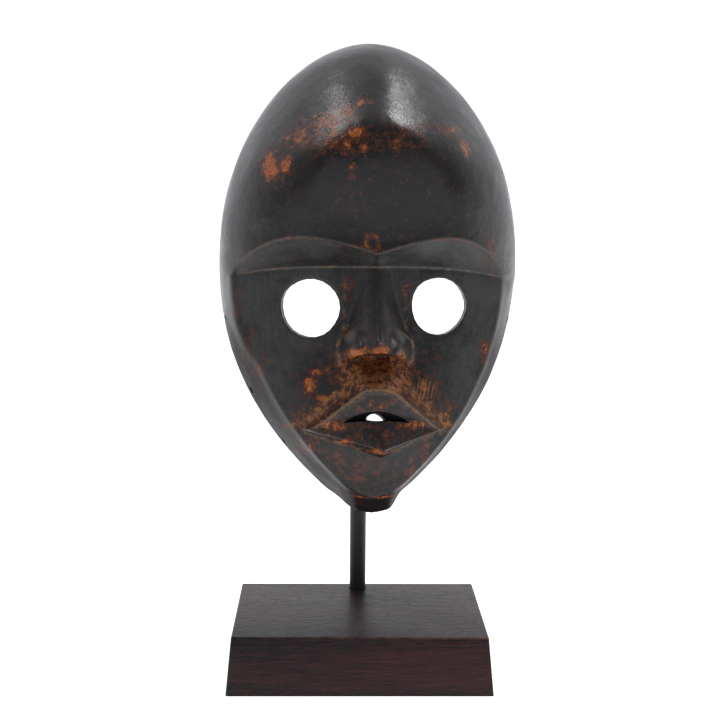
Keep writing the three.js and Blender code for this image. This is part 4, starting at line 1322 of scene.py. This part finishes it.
class SetStage(bpy.types.Operator):
    """Lay the pale floor, hang the soft lights and set up the camera"""

    bl_idname = "mask_stand.set_stage"
    bl_label = "Set the stage"

    def execute(self, context):
        settings = context.scene.stage_settings
        self.lay_floor(context.scene.mask_finishes)
        self.light_room(context.scene, settings)
        self.place_camera(context.scene, settings)
        return {"FINISHED"}

    def lay_floor(self, finishes):
        """One sheet of opal acrylic with light under it, flat under the object. The light ends a
        hand's breadth in front of the base."""
        mesh = bpy.data.meshes.new("floor")
        corners = [(x * FLOOR_HALF, y * FLOOR_HALF, BASE_LOW[2])
                   for x, y in ((-1, -1), (1, -1), (1, 1), (-1, 1))]
        mesh.from_pydata(corners, [], [(0, 1, 2, 3)])
        material, tree, place = new_material("Opal acrylic, lit from below")
        backwards = add(tree, "ShaderNodeSeparateXYZ", {0: place}).outputs["Y"]
        glow = add(tree, "ShaderNodeMapRange", {
            "Value": backwards, "From Min": GLOW_FADE[0], "From Max": GLOW_FADE[1],
            "To Min": GLOW[0], "To Max": GLOW[1]}, **SOFTLY)
        acrylic = add(tree, "ShaderNodeBsdfPrincipled", {
            "Base Color": tuple(finishes.floor), "Roughness": 0.9, "Specular IOR Level": 0.0,
            "Emission Color": (1, 1, 1, 1), "Emission Strength": glow})
        add(tree, "ShaderNodeOutputMaterial", {"Surface": acrylic})
        mesh.materials.append(material)
        add_object("pale_floor", mesh)

    def light_room(self, scene, settings):
        world = bpy.data.worlds.new("Studio")
        world.use_nodes = True
        tree = world.node_tree
        tree.nodes.clear()
        # White behind and beside the object, and a dimmer room in front of it
        way = add(tree, "ShaderNodeTexCoord").outputs["Generated"]
        backwards = add(tree, "ShaderNodeSeparateXYZ", {0: way}).outputs["Y"]
        bright = add(tree, "ShaderNodeMapRange", {
            "Value": backwards, "From Min": ROOM_FADE[0], "From Max": ROOM_FADE[1],
            "To Min": ROOM[0], "To Max": ROOM[1]}, **SOFTLY)
        room = add(tree, "ShaderNodeBackground", {"Color": ROOM_TINT, "Strength": bright})
        add(tree, "ShaderNodeOutputWorld", {"Surface": room})
        scene.world = world
        for name, place, wide, tall, power in LAMPS:
            lamp = bpy.data.lights.new(name, "AREA")
            lamp.shape = "RECTANGLE"
            lamp.size, lamp.size_y = wide, tall
            lamp.energy = power * settings.light
            lamp.spread = math.radians(LAMP_SPREAD)
            holder = bpy.data.objects.new(name, lamp)
            holder.location = place
            aim = Vector(LAMP_TARGET) - Vector(place)
            holder.rotation_euler = aim.to_track_quat("-Z", "Y").to_euler()
            scene.collection.objects.link(holder)

    def place_camera(self, scene, settings):
        camera = bpy.data.cameras.new("camera")
        camera.lens = settings.lens
        camera.sensor_width = 36
        camera.clip_start, camera.clip_end = 0.01, 20
        holder = bpy.data.objects.new("camera", camera)
        holder.location = CAMERA_PLACE
        pitch, turn, roll = (math.radians(angle) for angle in (CAMERA_PITCH, CAMERA_TURN, CAMERA_ROLL))
        holder.rotation_euler = (
            Matrix.Rotation(-turn, 3, "Z") @ Matrix.Rotation(math.pi / 2 - pitch, 3, "X")
            @ Matrix.Rotation(roll, 3, "Z")).to_euler()
        scene.collection.objects.link(holder)
        scene.camera = holder
        scene.view_settings.view_transform = "Standard"


class MaskPanel(bpy.types.Panel):
    """Sizes, finishes and steps of the mask on its stand"""

    bl_idname = "VIEW3D_PT_mask_stand"
    bl_label = "Carved mask"
    bl_space_type = "VIEW_3D"
    bl_region_type = "UI"
    bl_category = "Mask"

    def draw(self, context):
        for operator in OPERATORS:
            self.layout.operator(operator.bl_idname)
        for group in ("mask_sizes", "stand_sizes", "mask_finishes", "stage_settings"):
            settings = getattr(context.scene, group)
            box = self.layout.box()
            for name in settings.__annotations__:
                box.prop(settings, name)


GROUPS = {
    "mask_sizes": MaskSizes,
    "stand_sizes": StandSizes,
    "mask_finishes": Finishes,
    "stage_settings": StageSettings,
}
OPERATORS = (SetStage, CarveMask, AddRod, AddBase)


def register():
    for kind in (*GROUPS.values(), *OPERATORS, MaskPanel):
        bpy.utils.register_class(kind)
    for name, kind in GROUPS.items():
        setattr(bpy.types.Scene, name, PointerProperty(type=kind))


def unregister():
    for name in GROUPS:
        delattr(bpy.types.Scene, name)
    for kind in reversed((*GROUPS.values(), *OPERATORS, MaskPanel)):
        bpy.utils.unregister_class(kind)


def main():
    register()
    bpy.ops.mask_stand.set_stage()
    bpy.ops.mask_stand.carve_mask()
    bpy.ops.mask_stand.add_rod()
    bpy.ops.mask_stand.add_base()


if __name__ == "__main__":
    main()
